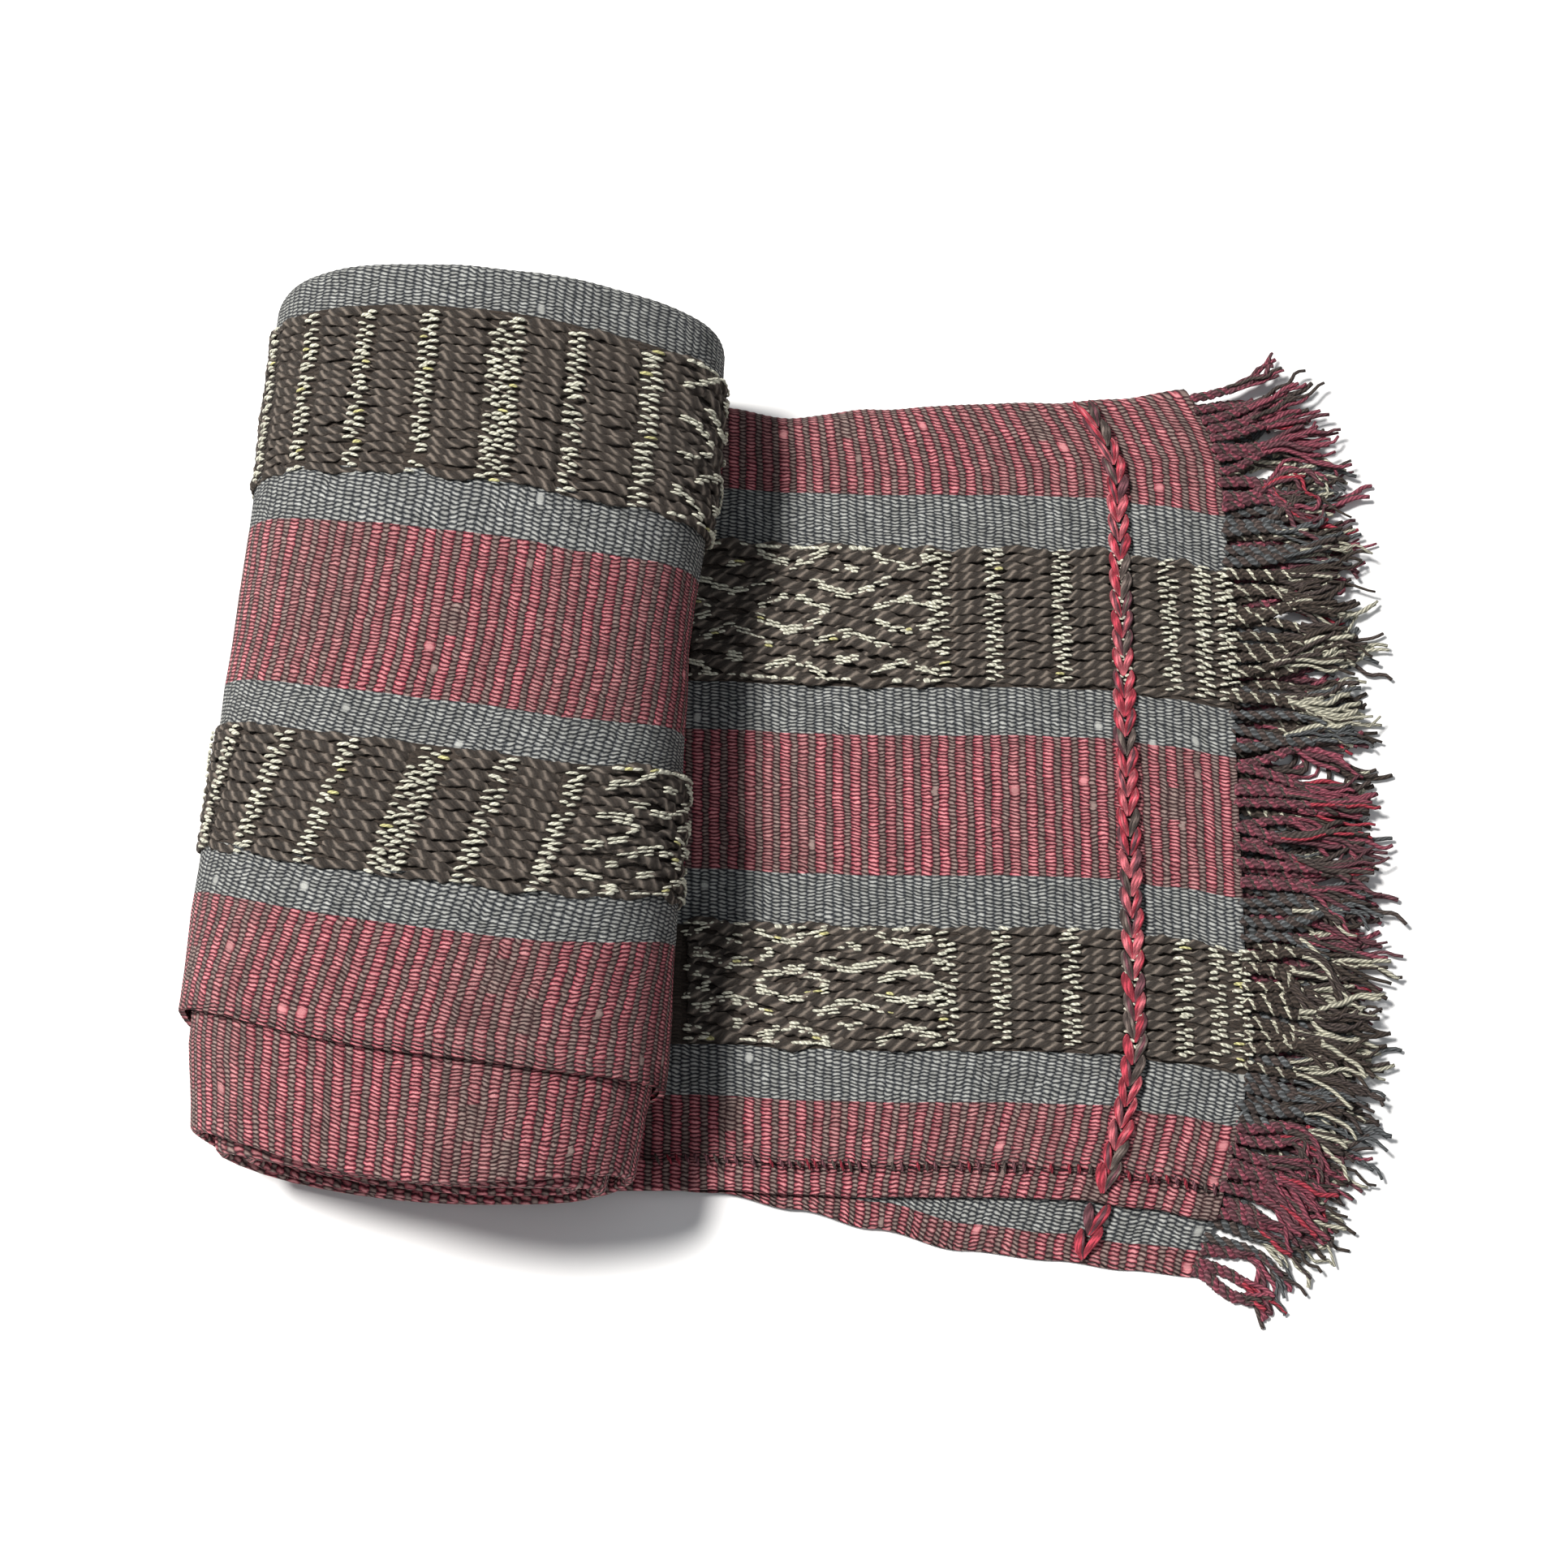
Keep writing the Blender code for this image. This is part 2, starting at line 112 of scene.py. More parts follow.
# Stripes of each panel, from the free edge of panel one and from the seam of panel two
stripesOne = [
    ("red", 0.050), ("grey", 0.021), ("brown", 0.0535), ("grey", 0.020), ("red", 0.0705), ("grey", 0.020),
    ("brown", 0.071), ("grey", 0.027), ("red", 0.064), ("grey", 0.0275), ("brown", 0.062),
    ("grey", 0.022), ("red", 0.064), ("grey", 0.024), ("brown", 0.051), ("grey", 0.022), ("red", 0.0286),
]
stripesTwo = [
    ("red", 0.062), ("grey", 0.022), ("brown", 0.049), ("grey", 0.027), ("red", 0.067), ("grey", 0.020),
    ("brown", 0.071), ("grey", 0.027), ("red", 0.064), ("grey", 0.0275), ("brown", 0.062),
    ("grey", 0.022), ("red", 0.064), ("grey", 0.024), ("brown", 0.051), ("grey", 0.026), ("red", 0.0125),
]
weave = {
    "rib": 0.0038,  # one weft rib
    "dash": 0.00166,  # one warp end in a rib
    "ribHigh": 0.00034,  # how far a rib stands out
    "stripeBlur": 0.001,  # width over which the ribs fade beside a brown stripe
    "backShare": 0.8,  # how much of the front's unevenness the back follows
    "ragged": 0.09, "redWider": 0.09, "lean": 0.25, "taper": 0.52, "crown": 2.4,
    "slubRare": 0.990, "slubTall": 1.05, "slubEnds": 3.0, "redKept": 0.985,
    "patches": 70.0, "rowPatches": 7.0, "rowDull": 0.30, "softDull": 0.26, "dullScale": 13.0,
    "fuzzScale": 2600.0, "fuzzBump": 0.35, "bump": 0.0009,
    # Heights where a dash turns from painted shade to its own colour, and where its painted highlight starts
    "bodyAt": (0.06, 0.50), "paintedHighlightAt": (0.52, 1.0, 0.0, 0.90),  # heights of a dash's body and lit ridge
    # waviness of the rows, the ends and the stripes' edges: cycles per metre, then reach
    "alongDrift": (90.0, 0.0018), "acrossDrift": (60.0, 0.003), "acrossShake": (380.0, 0.0013),
    "stripeShake": (45.0, 0.0012), "leanDrift": (120.0, 3.0),
    # darkest and lightest, from the cotton's fuzz, from end to end and from patch to patch
    "fuzzShade": (0.86, 1.10), "endShade": (0.80, 1.16), "patchShade": (0.90, 1.08),
    "underBrown": srgb(66, 58, 52),
}
# Painted shade in the gap, the yarn's own colour in the body and a painted highlight on the ridge of the warp
# dashes
weaveTones = {
    "red": (srgb(54, 19, 28), srgb(147, 62, 75), srgb(216, 142, 147)),
    "dark": (srgb(48, 26, 30), srgb(96, 74, 72), srgb(152, 132, 126)),
    "grey": (srgb(39, 42, 46), srgb(96, 98, 100), srgb(176, 177, 172)),
}
rib = weave["rib"]
dash = weave["dash"]


def smooth(value):
    value = np.clip(value, 0.0, 1.0)
    return value * value * (3 - 2 * value)


def rise(value, start, over):
    return smooth((value - start) / over)


def lookUp(rows, at, column=1):
    rows = np.array(rows)
    return np.interp(at, rows[:, 0], rows[:, column])


def edgeAt(column, along):
    rows = np.array(edges)
    along = np.asarray(along, dtype=float)
    spot = np.clip(np.searchsorted(rows[:, 0], along, side="right") - 1, 0, len(rows) - 2)
    share = (along - rows[spot, 0]) / (rows[spot + 1, 0] - rows[spot, 0])
    return rows[spot, column] + smooth(share) * (rows[spot + 1, column] - rows[spot, column])


def windPath(samples=24000):
    angle = np.linspace(0, cloth["turns"] * tau, samples)
    turn = angle / tau
    camber = np.where(np.cos(angle) > 0, cloth["floorCamber"],
                      cloth["topCamber"] - cloth["camberLost"] * (turn - 0.5))
    half = cloth["coreHalf"]
    core = np.hypot(half * np.sin(angle), camber * np.cos(angle))
    slope = (half**2 - camber**2) * np.sin(angle) * np.cos(angle) / core - pitch / tau
    reach = core + startReach - pitch * turn
    x = -reach * np.sin(angle) - slope * np.cos(angle)
    z = rollHeight - reach * np.cos(angle) + slope * np.sin(angle)
    run = np.concatenate([[0.0], np.cumsum(np.hypot(np.diff(x), np.diff(z)))])
    return {"along": run + cloth["flatLength"] - x[0], "angle": angle, "x": x, "z": z}


path = windPath()
rollStart = path["along"][0]
clothLength = path["along"][-1]


def weftBow(y, along):
    near = np.clip(1 - (y - edgeAt(1, along)) / cloth["nearBowWidth"], 0, bowShape["nearMost"])
    far = np.clip(1 - (edgeAt(2, along) - y) / cloth["farBowWidth"], 0, bowShape["farMost"])
    return cloth["weftBow"] * (near ** bowShape["nearPower"] + far ** bowShape["farPower"])


def slide(along, y):
    # Where a weft at this distance lies on the path: those on the roll lag on the near side
    fade = rise(along, lagSpan["starts"], lagSpan["over"])
    fade = fade * (1 - rise(along, lagSpan["ends"], lagSpan["endsOver"]))
    return along - fade * lookUp(rollLag, y)


def sag(along, y):
    far = np.clip((y - sagFar["starts"]) / sagFar["over"], 0, 1)
    near = lookUp(sagTable, along)
    return near + far * (lookUp(sagTable, along, 2) - near)


def edgeCurl(along, y):
    nearShare = np.clip((cloth["nearLine"] - y) / cloth["nearLine"], 0, 1)
    low = cloth["bulgeLines"][1]
    farShare = np.clip((y - low) / (cloth["foldedWidth"] - low), 0, 1)
    endShare = np.clip((cloth["endRow"] - along) / cloth["endRow"], 0, 1)
    share = np.maximum(np.maximum(nearShare, farShare), endShare)
    return cloth["edgeLift"] * share * (1 - smooth((along - rollStart) / (cloth["leanEnds"] - rollStart)))


def place(along, y, offset):
    fade = smooth((cloth["bowEnds"] - along) / cloth["bowFade"])
    walk = along + fade * weftBow(y, along)
    angle = np.interp(walk, path["along"], path["angle"])
    x = np.interp(walk, path["along"], path["x"]) + np.maximum(rollStart - walk, 0)
    z = np.interp(walk, path["along"], path["z"])
    x = x - np.sin(angle) * offset
    z = z - np.cos(angle) * offset
    wound = smooth((along - cloth["leanStarts"]) / (cloth["leanEnds"] - cloth["leanStarts"]))
    depth = y / cloth["foldedWidth"]
    x = x * (1 - wound * (cloth["taper"] * smooth(depth) - cloth["nearWider"]))
    z = z * (1 + wound * cloth["rise"] * depth)
    x = x * (1 - wound * cloth["nearTaper"] * np.clip(1 - y / cloth["nearLine"], 0, 1.2))
    low, high = cloth["bulgeLines"]
    farShare = np.clip((y - low) / (high - low), 0, 1)
    bulge = cloth["bulge"] * smooth((x - cloth["bulgeStarts"]) / cloth["bulgeWidth"]) * farShare
    x = x + wound * bulge
    curl = cloth["nearCurl"] * (1 - depth) * (x / cloth["rollHalf"]) ** 2
    back = y + wound * curl - cloth["rollCentre"][1]
    worldX = cloth["rollCentre"][0] + x + wound * cloth["axisLean"] * back
    worldY = cloth["rollCentre"][1] - wound * cloth["wrapSlope"] * x + back
    z = z + edgeCurl(along, y)
    return np.stack([worldX - cloth["centre"][0], worldY - cloth["centre"][1], z], axis=-1)


def lump(along, y):
    # Soft unevenness of the cloth, never inwards
    broad = np.sin(along * 71 + 2.1 * np.sin(y * 33)) * np.sin(y * 57 + 1.3 * np.sin(along * 47))
    small = np.sin(along * 190 + y * 60) * np.sin(y * 150 - along * 40)
    return uneven["broad"] * (1 + broad) + uneven["fine"] * (1 + small)


def sectionAt(part, share, along):
    # Width position, offset out of the roll and distance across the panel of a column
    near, far, edge, floorEdge = (edgeAt(column, along) for column in (1, 2, 3, 4))
    seam = near + cloth["seamFromFold"]
    layer = cloth["layer"]
    farEnd = far - outerFold
    inner = np.minimum((cloth["panelWidth"] - cloth["seamFromFold"] + near + edge) / 2, farEnd)
    turn = pi * share
    flat = np.zeros_like(along)
    width = cloth["panelWidth"]
    if part == "floor":
        y = floorEdge + share * (farEnd - floorEdge)
        return y, flat + 1.5 * layer, y - floorEdge
    if part == "farFold":
        low = farEnd - floorEdge
        high = width - (farEnd - seam)
        return farEnd + outerFold * np.sin(turn), flat + outerFold * np.cos(turn), low + share * (high - low)
    if part == "top":
        start = seam + cloth["gap"] / 2
        y = start + share * (farEnd - start)
        return y, flat - 1.5 * layer, width - (y - seam)
    low = cloth["seamFromFold"] - innerFold
    if part == "topEdge":
        y = near + innerFold + share * (seam - cloth["gap"] / 2 - near - innerFold)
        return y, flat - 1.5 * layer, seam - y
    if part == "nearFold":
        y = near + innerFold - innerFold * np.sin(turn)
        return y, flat - layer - innerFold * np.cos(turn), low + share * pi * innerFold + flat
    start = low + pi * innerFold
    if part == "upper":
        y = near + innerFold + share * (inner - near - 2 * innerFold)
        return y, flat - 0.5 * layer, start + y - near - innerFold
    if part == "innerFold":
        first = start + inner - near - 2 * innerFold
        last = width - (inner - innerFold - edge)
        y = inner - innerFold + innerFold * np.sin(turn)
        return y, flat - innerFold * np.cos(turn), first + share * (last - first) + flat
    y = edge + share * (inner - innerFold - edge)
    droop = layer * smooth((near - cloth["droopStarts"] - y) / cloth["droopWidth"])
    return y, flat + 0.5 * layer + droop, width - (y - edge)


def rowPlan():
    # Distances along the cloth: four to a rib where the cloth is seen, wide apart where it isn't
    fine = rib / 4
    flatSeen = np.arange(*rowSpans["flat"], fine)
    underRoll = np.linspace(*rowSpans["underRoll"])
    rollSeen = np.arange(*rowSpans["roll"], fine)
    insideRoll = np.linspace(rowSpans["inside"], clothLength, rowSpans["insideRows"])
    return np.concatenate([flatSeen, underRoll, rollSeen, insideRoll])


def bandMask(stripes, across, kind):
    # One inside stripes of a kind, falling off at their edges
    ends = np.cumsum([0.0] + [width for name, width in stripes])
    mask = np.zeros_like(across)
    for number, (name, width) in enumerate(stripes):
        if name == kind:
            inside = np.minimum(across - ends[number], ends[number + 1] - across)
            mask = np.maximum(mask, smooth(inside / weave["stripeBlur"] + 0.5))
    return mask


def makeObject(name, verts, faces, uv, material, tint=None):
    data = bpy.data.meshes.new(name)
    data.from_pydata(verts.tolist(), [], faces)
    loops = np.zeros(len(data.loops), dtype=np.int32)
    data.loops.foreach_get("vertex_index", loops)
    layer = data.uv_layers.new(name="cloth")
    values = uv[loops] if len(uv) == len(verts) else uv
    layer.data.foreach_set("uv", values.astype(np.float32).ravel())
    if tint is not None:
        colours = data.color_attributes.new("tint", "FLOAT_COLOR", "POINT")
        full = np.concatenate([tint, np.ones((len(tint), 1))], axis=1)
        colours.data.foreach_set("color", full.astype(np.float32).ravel())
    data.polygons.foreach_set("use_smooth", [True] * len(data.polygons))
    data.update()
    made = bpy.data.objects.new(name, data)
    bpy.context.scene.collection.objects.link(made)
    data.materials.append(material)
    return made


def visibleShare(part, share, rows):
    # One where the front of the cloth is seen, else nought, with soft changes
    onFlat = 1 - rise(rows, shown["flatEnds"], shown["flatOver"])
    onRoll = rise(rows, shown["rollStarts"], shown["rollOver"])
    onRoll = onRoll * (1 - rise(rows, shown["rollEnds"], shown["rollOver"]))
    if part == "floor":
        return onRoll
    if part == "farFold":
        return onRoll * (1 - smooth(share)) + onFlat * smooth(share * 1.5)
    if part in ("top", "topEdge"):
        return onFlat
    if part == "nearFold":
        return onFlat * (1 - share) + onRoll * share
    if part == "upper":
        return onRoll * (1 - rise(share, shown["upperEnds"], shown["upperOver"]))
    if part == "lower":
        return onFlat * (1 - rise(share, shown["lowerEnds"], shown["lowerOver"]))
    return onFlat * 0


def panelSheet(name, columns, stripes, material):
    # A panel as one closed sheet: its front is ribbed where it is seen, and its back is plain
    rows = rowPlan()
    grid = np.zeros((len(columns), len(rows), 3))
    uv = np.zeros((len(columns), len(rows), 2))
    lift = np.zeros((len(columns), len(rows)))
    for number, (part, share) in enumerate(columns):
        y, offset, across = sectionAt(part, share, rows)
        along = slide(rows, y)
        y, offset, across = sectionAt(part, share, along)
        grid[number] = place(along, y, offset)
        if name == "panel_one_cloth" and part in ("floor", "farFold"):
            across = across + sag(along, y) * (1 - share * (part == "farFold"))
        uv[number] = np.stack([rows, across], axis=-1)
        seen = visibleShare(part, share, rows)
        ribs = weave["ribHigh"] * (0.5 - 0.5 * np.cos(tau * rows / rib))
        ribs = ribs * (1 - bandMask(stripes, across, "brown"))
        lift[number] = seen * (lump(along, y) + ribs)
    alongStep = np.gradient(grid, axis=1)
    acrossStep = np.gradient(grid, axis=0)
    normal = np.cross(acrossStep, alongStep)
    normal /= np.linalg.norm(normal, axis=-1, keepdims=True)
    half = cloth["thick"] / 2
    front = grid + normal * (half + lift)[..., None]
    back = grid + normal * (lift * weave["backShare"] - half)[..., None]
    front[..., 2] = np.maximum(front[..., 2], 0.0)
    back[..., 2] = np.maximum(back[..., 2], 0.0)
    verts = np.concatenate([front.reshape(-1, 3), back.reshape(-1, 3)])
    uvs = np.concatenate([uv.reshape(-1, 2), uv.reshape(-1, 2)])
    wide, tall = len(rows), len(columns)
    index = np.arange(wide * tall).reshape(tall, wide)
    corners = [index[:-1, :-1], index[1:, :-1], index[1:, 1:], index[:-1, 1:]]
    faces = np.stack([corner.ravel() for corner in corners], axis=1)
    other = faces[:, ::-1] + wide * tall
    rim = np.concatenate([index[0, ::-1], index[1:, 0], index[-1, 1:], index[-2:0:-1, -1]])
    ring = np.roll(rim, -1)
    side = np.stack([rim, rim + wide * tall, ring + wide * tall, ring], axis=1)[:, ::-1]
    allFaces = np.concatenate([faces, other, side]).tolist()
    made = makeObject(name, verts, allFaces, uvs, material)
    print("sheet", name, len(made.data.polygons) * 2)
    return made


def tubeBatch(mapping, u, v, lift, wide, high, sides, twist=None, lobe=0.0):
    # Closed tubes along many paths at once, with their width level and across the path
    theta = np.arange(sides) / sides * tau - pi / 2
    stepU = np.gradient(u, axis=1)
    stepV = np.gradient(v, axis=1)
    size = np.hypot(stepU, stepV) + 1e-9
    swell = np.ones(u.shape + (sides,))
    if twist is not None:
        swell = 1 + lobe * np.cos(2 * (theta - twist[..., None]))
    out = wide[..., None] * np.cos(theta) * swell
    uu = u[..., None] - out * (stepV / size)[..., None]
    vv = v[..., None] + out * (stepU / size)[..., None]
    ll = lift[..., None] + high[..., None] * np.sin(theta) * swell
    verts = mapping(uu, vv, ll).reshape(-1, 3)
    verts[:, 2] = np.maximum(verts[:, 2], 0.0)
    count, rings = u.shape
    index = np.arange(count * rings * sides).reshape(count, rings, sides)
    nextSide = np.roll(index, -1, axis=2)
    quads = np.stack([index[:, :-1], nextSide[:, :-1], nextSide[:, 1:], index[:, 1:]], axis=-1)
    quads = quads.reshape(-1, 4)
    run = np.cumsum(np.hypot(np.hypot(stepU, stepV), np.gradient(lift, axis=1)), axis=1)
    start = np.broadcast_to(run[:, :-1, None], (count, rings - 1, sides))
    end = np.broadcast_to(run[:, 1:, None], (count, rings - 1, sides))
    around = np.broadcast_to(np.arange(sides) / sides, start.shape)
    step = 1 / sides
    loops = np.stack([start, around, start, around + step, end, around + step, end, around], axis=-1)
    loops = loops.reshape(-1, 2)
    caps = [ring[::-1].tolist() for ring in index[:, 0]] + [ring.tolist() for ring in index[:, -1]]
    capUv = np.zeros((len(caps) * sides, 2))
    return {"verts": verts, "faces": quads.tolist(), "caps": caps, "uv": loops, "capUv": capUv,
            "perTube": rings * sides}


def joinBatches(name, batches, material, tints=None):
    # One object out of several batches of tubes
    verts, faces, uv, shift = [], [], [], 0
    for batch in batches:
        faces += [[spot + shift for spot in face] for face in batch["faces"] + batch["caps"]]
        uv += [batch["uv"], batch["capUv"]]
        verts.append(batch["verts"])
        shift += len(batch["verts"])
    tint = None
    if tints is not None:
        tint = np.concatenate([np.repeat(tone, batch["perTube"], axis=0)
                               for tone, batch in zip(tints, batches)])
    made = makeObject(name, np.concatenate(verts), faces, np.concatenate(uv), material, tint)
    triangles = sum(len(face.vertices) - 2 for face in made.data.polygons)
    print("tubes", name, triangles)
    return made


def onTop(u, y, lift):
    # A spot over the top layer of the flat part
    height = 1.5 * cloth["layer"] + cloth["thick"] / 2 + lump(u, y) + lift
    return place(u, y, -height)


def onRoll(u, y, lift):
    # A spot over the outside of the roll
    along = slide(u, y)
    return place(along, y, 1.5 * cloth["layer"] + cloth["thick"] / 2 + lump(along, y) + lift)


def onLower(u, y, lift):
    # A spot over the third layer, in front of the near fold
    near = edgeAt(1, u)
    droop = cloth["layer"] * smooth((near - cloth["droopStarts"] - y) / cloth["droopWidth"])
    return place(u, y, 0.5 * cloth["layer"] + droop - cloth["thick"] / 2 - lump(u, y) - lift)


def level(x, y, z):
    return np.stack([x, y, z], axis=-1)


def calc(tree, operation, *values):
    node = tree.nodes.new("ShaderNodeMath")
    node.operation = operation
    for number, value in enumerate(values):
        if isinstance(value, (int, float)):
            node.inputs[number].default_value = value
        else:
            tree.links.new(value, node.inputs[number])
    return node.outputs[0]


def mixColour(tree, factor, first, second):
    node = tree.nodes.new("ShaderNodeMix")
    node.data_type = "RGBA"
    tree.links.new(factor, node.inputs[0])
    for socket, value in ((node.inputs[6], first), (node.inputs[7], second)):
        if isinstance(value, tuple):
            socket.default_value = (*value, 1.0)
        else:
            tree.links.new(value, socket)
    return node.outputs[2]


def remap(tree, value, low, high, newLow=0.0, newHigh=1.0):
    node = tree.nodes.new("ShaderNodeMapRange")
    node.interpolation_type = "SMOOTHSTEP"
    tree.links.new(value, node.inputs["Value"])
    for key, number in (("From Min", low), ("From Max", high), ("To Min", newLow), ("To Max", newHigh)):
        node.inputs[key].default_value = number
    return node.outputs["Result"]


def noiseAt(tree, vector, scale, detail=2.0):
    node = tree.nodes.new("ShaderNodeTexNoise")
    node.inputs["Scale"].default_value = scale
    node.inputs["Detail"].default_value = detail
    tree.links.new(vector, node.inputs["Vector"])
    return node.outputs["Fac"]


def randomAt(tree, first, second):
    join = tree.nodes.new("ShaderNodeCombineXYZ")
    tree.links.new(first, join.inputs[0])
    tree.links.new(second, join.inputs[1])
    node = tree.nodes.new("ShaderNodeTexWhiteNoise")
    node.noise_dimensions = "2D"
    tree.links.new(join.outputs[0], node.inputs["Vector"])
    return node.outputs["Value"]


def startMaterial(name):
    material = bpy.data.materials.new(name)
    material.use_nodes = True
    tree = material.node_tree
    shader = tree.nodes["Principled BSDF"]
    shader.inputs["Roughness"].default_value = 0.92
    shader.inputs["Specular IOR Level"].default_value = 0.18
    shader.inputs["Sheen Weight"].default_value = 0.03
    uv = tree.nodes.new("ShaderNodeUVMap")
    uv.uv_map = "cloth"
    split = tree.nodes.new("ShaderNodeSeparateXYZ")
    tree.links.new(uv.outputs[0], split.inputs[0])
    return material, tree, shader, uv.outputs[0], split.outputs[0], split.outputs[1]


def addBump(tree, shader, height, distance):
    node = tree.nodes.new("ShaderNodeBump")
    node.inputs["Distance"].default_value = distance
    node.inputs["Strength"].default_value = 1.0
    tree.links.new(height, node.inputs["Height"])
    tree.links.new(node.outputs[0], shader.inputs["Normal"])


def stripeRamp(tree, across, stripes):
    # Red, green and blue say how far a spot is in a red, a grey and a brown stripe
    node = tree.nodes.new("ShaderNodeValToRGB")
    ramp = node.color_ramp
    ramp.interpolation = "CONSTANT"
    marks = {"red": (1, 0, 0, 1), "grey": (0, 1, 0, 1), "brown": (0, 0, 1, 1)}
    start = 0.0
    for number, (kind, width) in enumerate(stripes):
        stop = ramp.elements[0] if number == 0 else ramp.elements.new(start / cloth["panelWidth"])
        stop.position = start / cloth["panelWidth"]
        stop.color = marks[kind]
        start += width
    ramp.elements[len(stripes)].color = marks[stripes[-1][0]]
    tree.links.new(calc(tree, "DIVIDE", across, cloth["panelWidth"]), node.inputs[0])
    split = tree.nodes.new("ShaderNodeSeparateColor")
    tree.links.new(node.outputs[0], split.inputs[0])
    return split.outputs


def wave(tree, vector, scale, reach, detail=2.0):
    return calc(tree, "MULTIPLY", calc(tree, "SUBTRACT", noiseAt(tree, vector, scale, detail), 0.5), reach)


def profile(tree, share, power):
    # One at the middle of a cell and nought at its edges
    away = calc(tree, "ABSOLUTE", calc(tree, "SUBTRACT", share, 0.5))
    return calc(tree, "SUBTRACT", 1.0, calc(tree, "POWER", calc(tree, "MULTIPLY", away, 2.0), power))


def threeTone(tree, height, paintedShadeTone, body, light):
    # Painted shade where a dash dives low, a painted highlight along its raised middle
    tone = mixColour(tree, remap(tree, height, *weave["bodyAt"]), paintedShadeTone, body)
    return mixColour(tree, remap(tree, height, *weave["paintedHighlightAt"]), tone, light)


def scaleColour(tree, colour, amount):
    node = tree.nodes.new("ShaderNodeVectorMath")
    node.operation = "SCALE"
    tree.links.new(colour, node.inputs[0])
    if isinstance(amount, float):
        node.inputs["Scale"].default_value = amount
    else:
        tree.links.new(amount, node.inputs["Scale"])
    return node.outputs[0]


def shaderMaths(tree):
    return [partial(calc, tree, operation) for operation in ("MULTIPLY", "ADD", "SUBTRACT", "FRACT", "FLOOR")]


def clothMaterial(name, stripes):
    # Ribbed warp-faced weave: rows of short warp dashes, every other row red in the red stripes
    material, tree, shader, uv, along, across = startMaterial(name)
    times, plus, minus, fract, floor = shaderMaths(tree)
    alongNow = plus(along, wave(tree, uv, *weave["alongDrift"]))
    acrossNow = plus(across, plus(wave(tree, uv, *weave["acrossDrift"], 0.0),
                                  wave(tree, uv, *weave["acrossShake"])))
    stripe = stripeRamp(tree, plus(across, wave(tree, uv, *weave["stripeShake"])), stripes)
    endsAcross = calc(tree, "DIVIDE", acrossNow, dash)
    pairs = calc(tree, "DIVIDE", alongNow, 2 * rib)
    # Each dash reaches a little further to one side than its neighbours
    rowChance = randomAt(tree, floor(endsAcross), floor(pairs))
    pairs = plus(pairs, times(minus(rowChance, 0.5), weave["ragged"]))
    # Red rows are wider than the dark ones between them
    inPair = fract(pairs)
    widen = times(calc(tree, "SINE", times(inPair, pi)), weave["redWider"])
    inPair = plus(inPair, times(widen, stripe[0]))
    ribs = times(plus(floor(pairs), inPair), 2.0)
    ribNumber = floor(ribs)
    parity = calc(tree, "MODULO", ribNumber, 2.0)
    inRib = fract(ribs)
    lean = times(minus(inRib, 0.5), plus(wave(tree, uv, *weave["leanDrift"]), weave["lean"]))
    ends = plus(plus(endsAcross, times(parity, 0.5)), lean)
    taper = times(minus(1.0, profile(tree, inRib, weave["crown"])), weave["taper"])
    height = minus(profile(tree, fract(ends), 2.0), taper)
    # A few slubs, several ends thick
    thick = calc(tree, "DIVIDE", ends, weave["slubEnds"])
    chance = randomAt(tree, plus(ribNumber, 31.7), floor(thick))
    swell = minus(times(profile(tree, fract(thick), 2.0), weave["slubTall"]), taper)
    slub = times(calc(tree, "GREATER_THAN", chance, weave["slubRare"]), swell)
    height = calc(tree, "MAXIMUM", height, slub)
    each = randomAt(tree, ribNumber, floor(ends))
    patch = randomAt(tree, ribNumber, floor(times(across, weave["patches"])))
    fuzz = noiseAt(tree, uv, weave["fuzzScale"], 3.0)
    # Each dash gets painted shade in its gap and a painted highlight on its ridge
    red, dark, grey = (threeTone(tree, height, *weaveTones[kind]) for kind in ("red", "dark", "grey"))
    reddened = times(parity, calc(tree, "LESS_THAN", patch, weave["redKept"]))
    redStripe = mixColour(tree, reddened, dark, red)
    # The red is duller along some rows, and in soft patches
    rowDull = randomAt(tree, ribNumber, floor(times(across, weave["rowPatches"])))
    dull = plus(remap(tree, rowDull, 0.50, 1.0, 0.0, weave["rowDull"]),
                remap(tree, noiseAt(tree, uv, weave["dullScale"]), 0.42, 0.66, 0.0, weave["softDull"]))
    redStripe = mixColour(tree, dull, redStripe, dark)
    colour = mixColour(tree, stripe[0], grey, redStripe)
    colour = mixColour(tree, stripe[2], colour, weave["underBrown"])
    shade = times(remap(tree, fuzz, 0.30, 0.75, *weave["fuzzShade"]),
                  remap(tree, each, 0.0, 1.0, *weave["endShade"]))
    shade = times(shade, remap(tree, patch, 0.0, 1.0, *weave["patchShade"]))
    tree.links.new(scaleColour(tree, colour, shade), shader.inputs["Base Color"])
    addBump(tree, shader, plus(height, times(fuzz, weave["fuzzBump"])), weave["bump"])
    return material


fibre = {
    # how all yarns are marked: wander of the twist, fineness of fuzz and patches, and their shades
    "bend": 0.6, "bendScale": 300.0, "fuzzScale": 2400.0, "patchScale": 160.0, "ridge": (0.5, 0.10),
    "fuzzShade": (0.30, 0.75, 0.78, 1.18), "patchShade": (0.30, 0.70, 0.88, 1.12), "fuzzBump": 0.4,
}


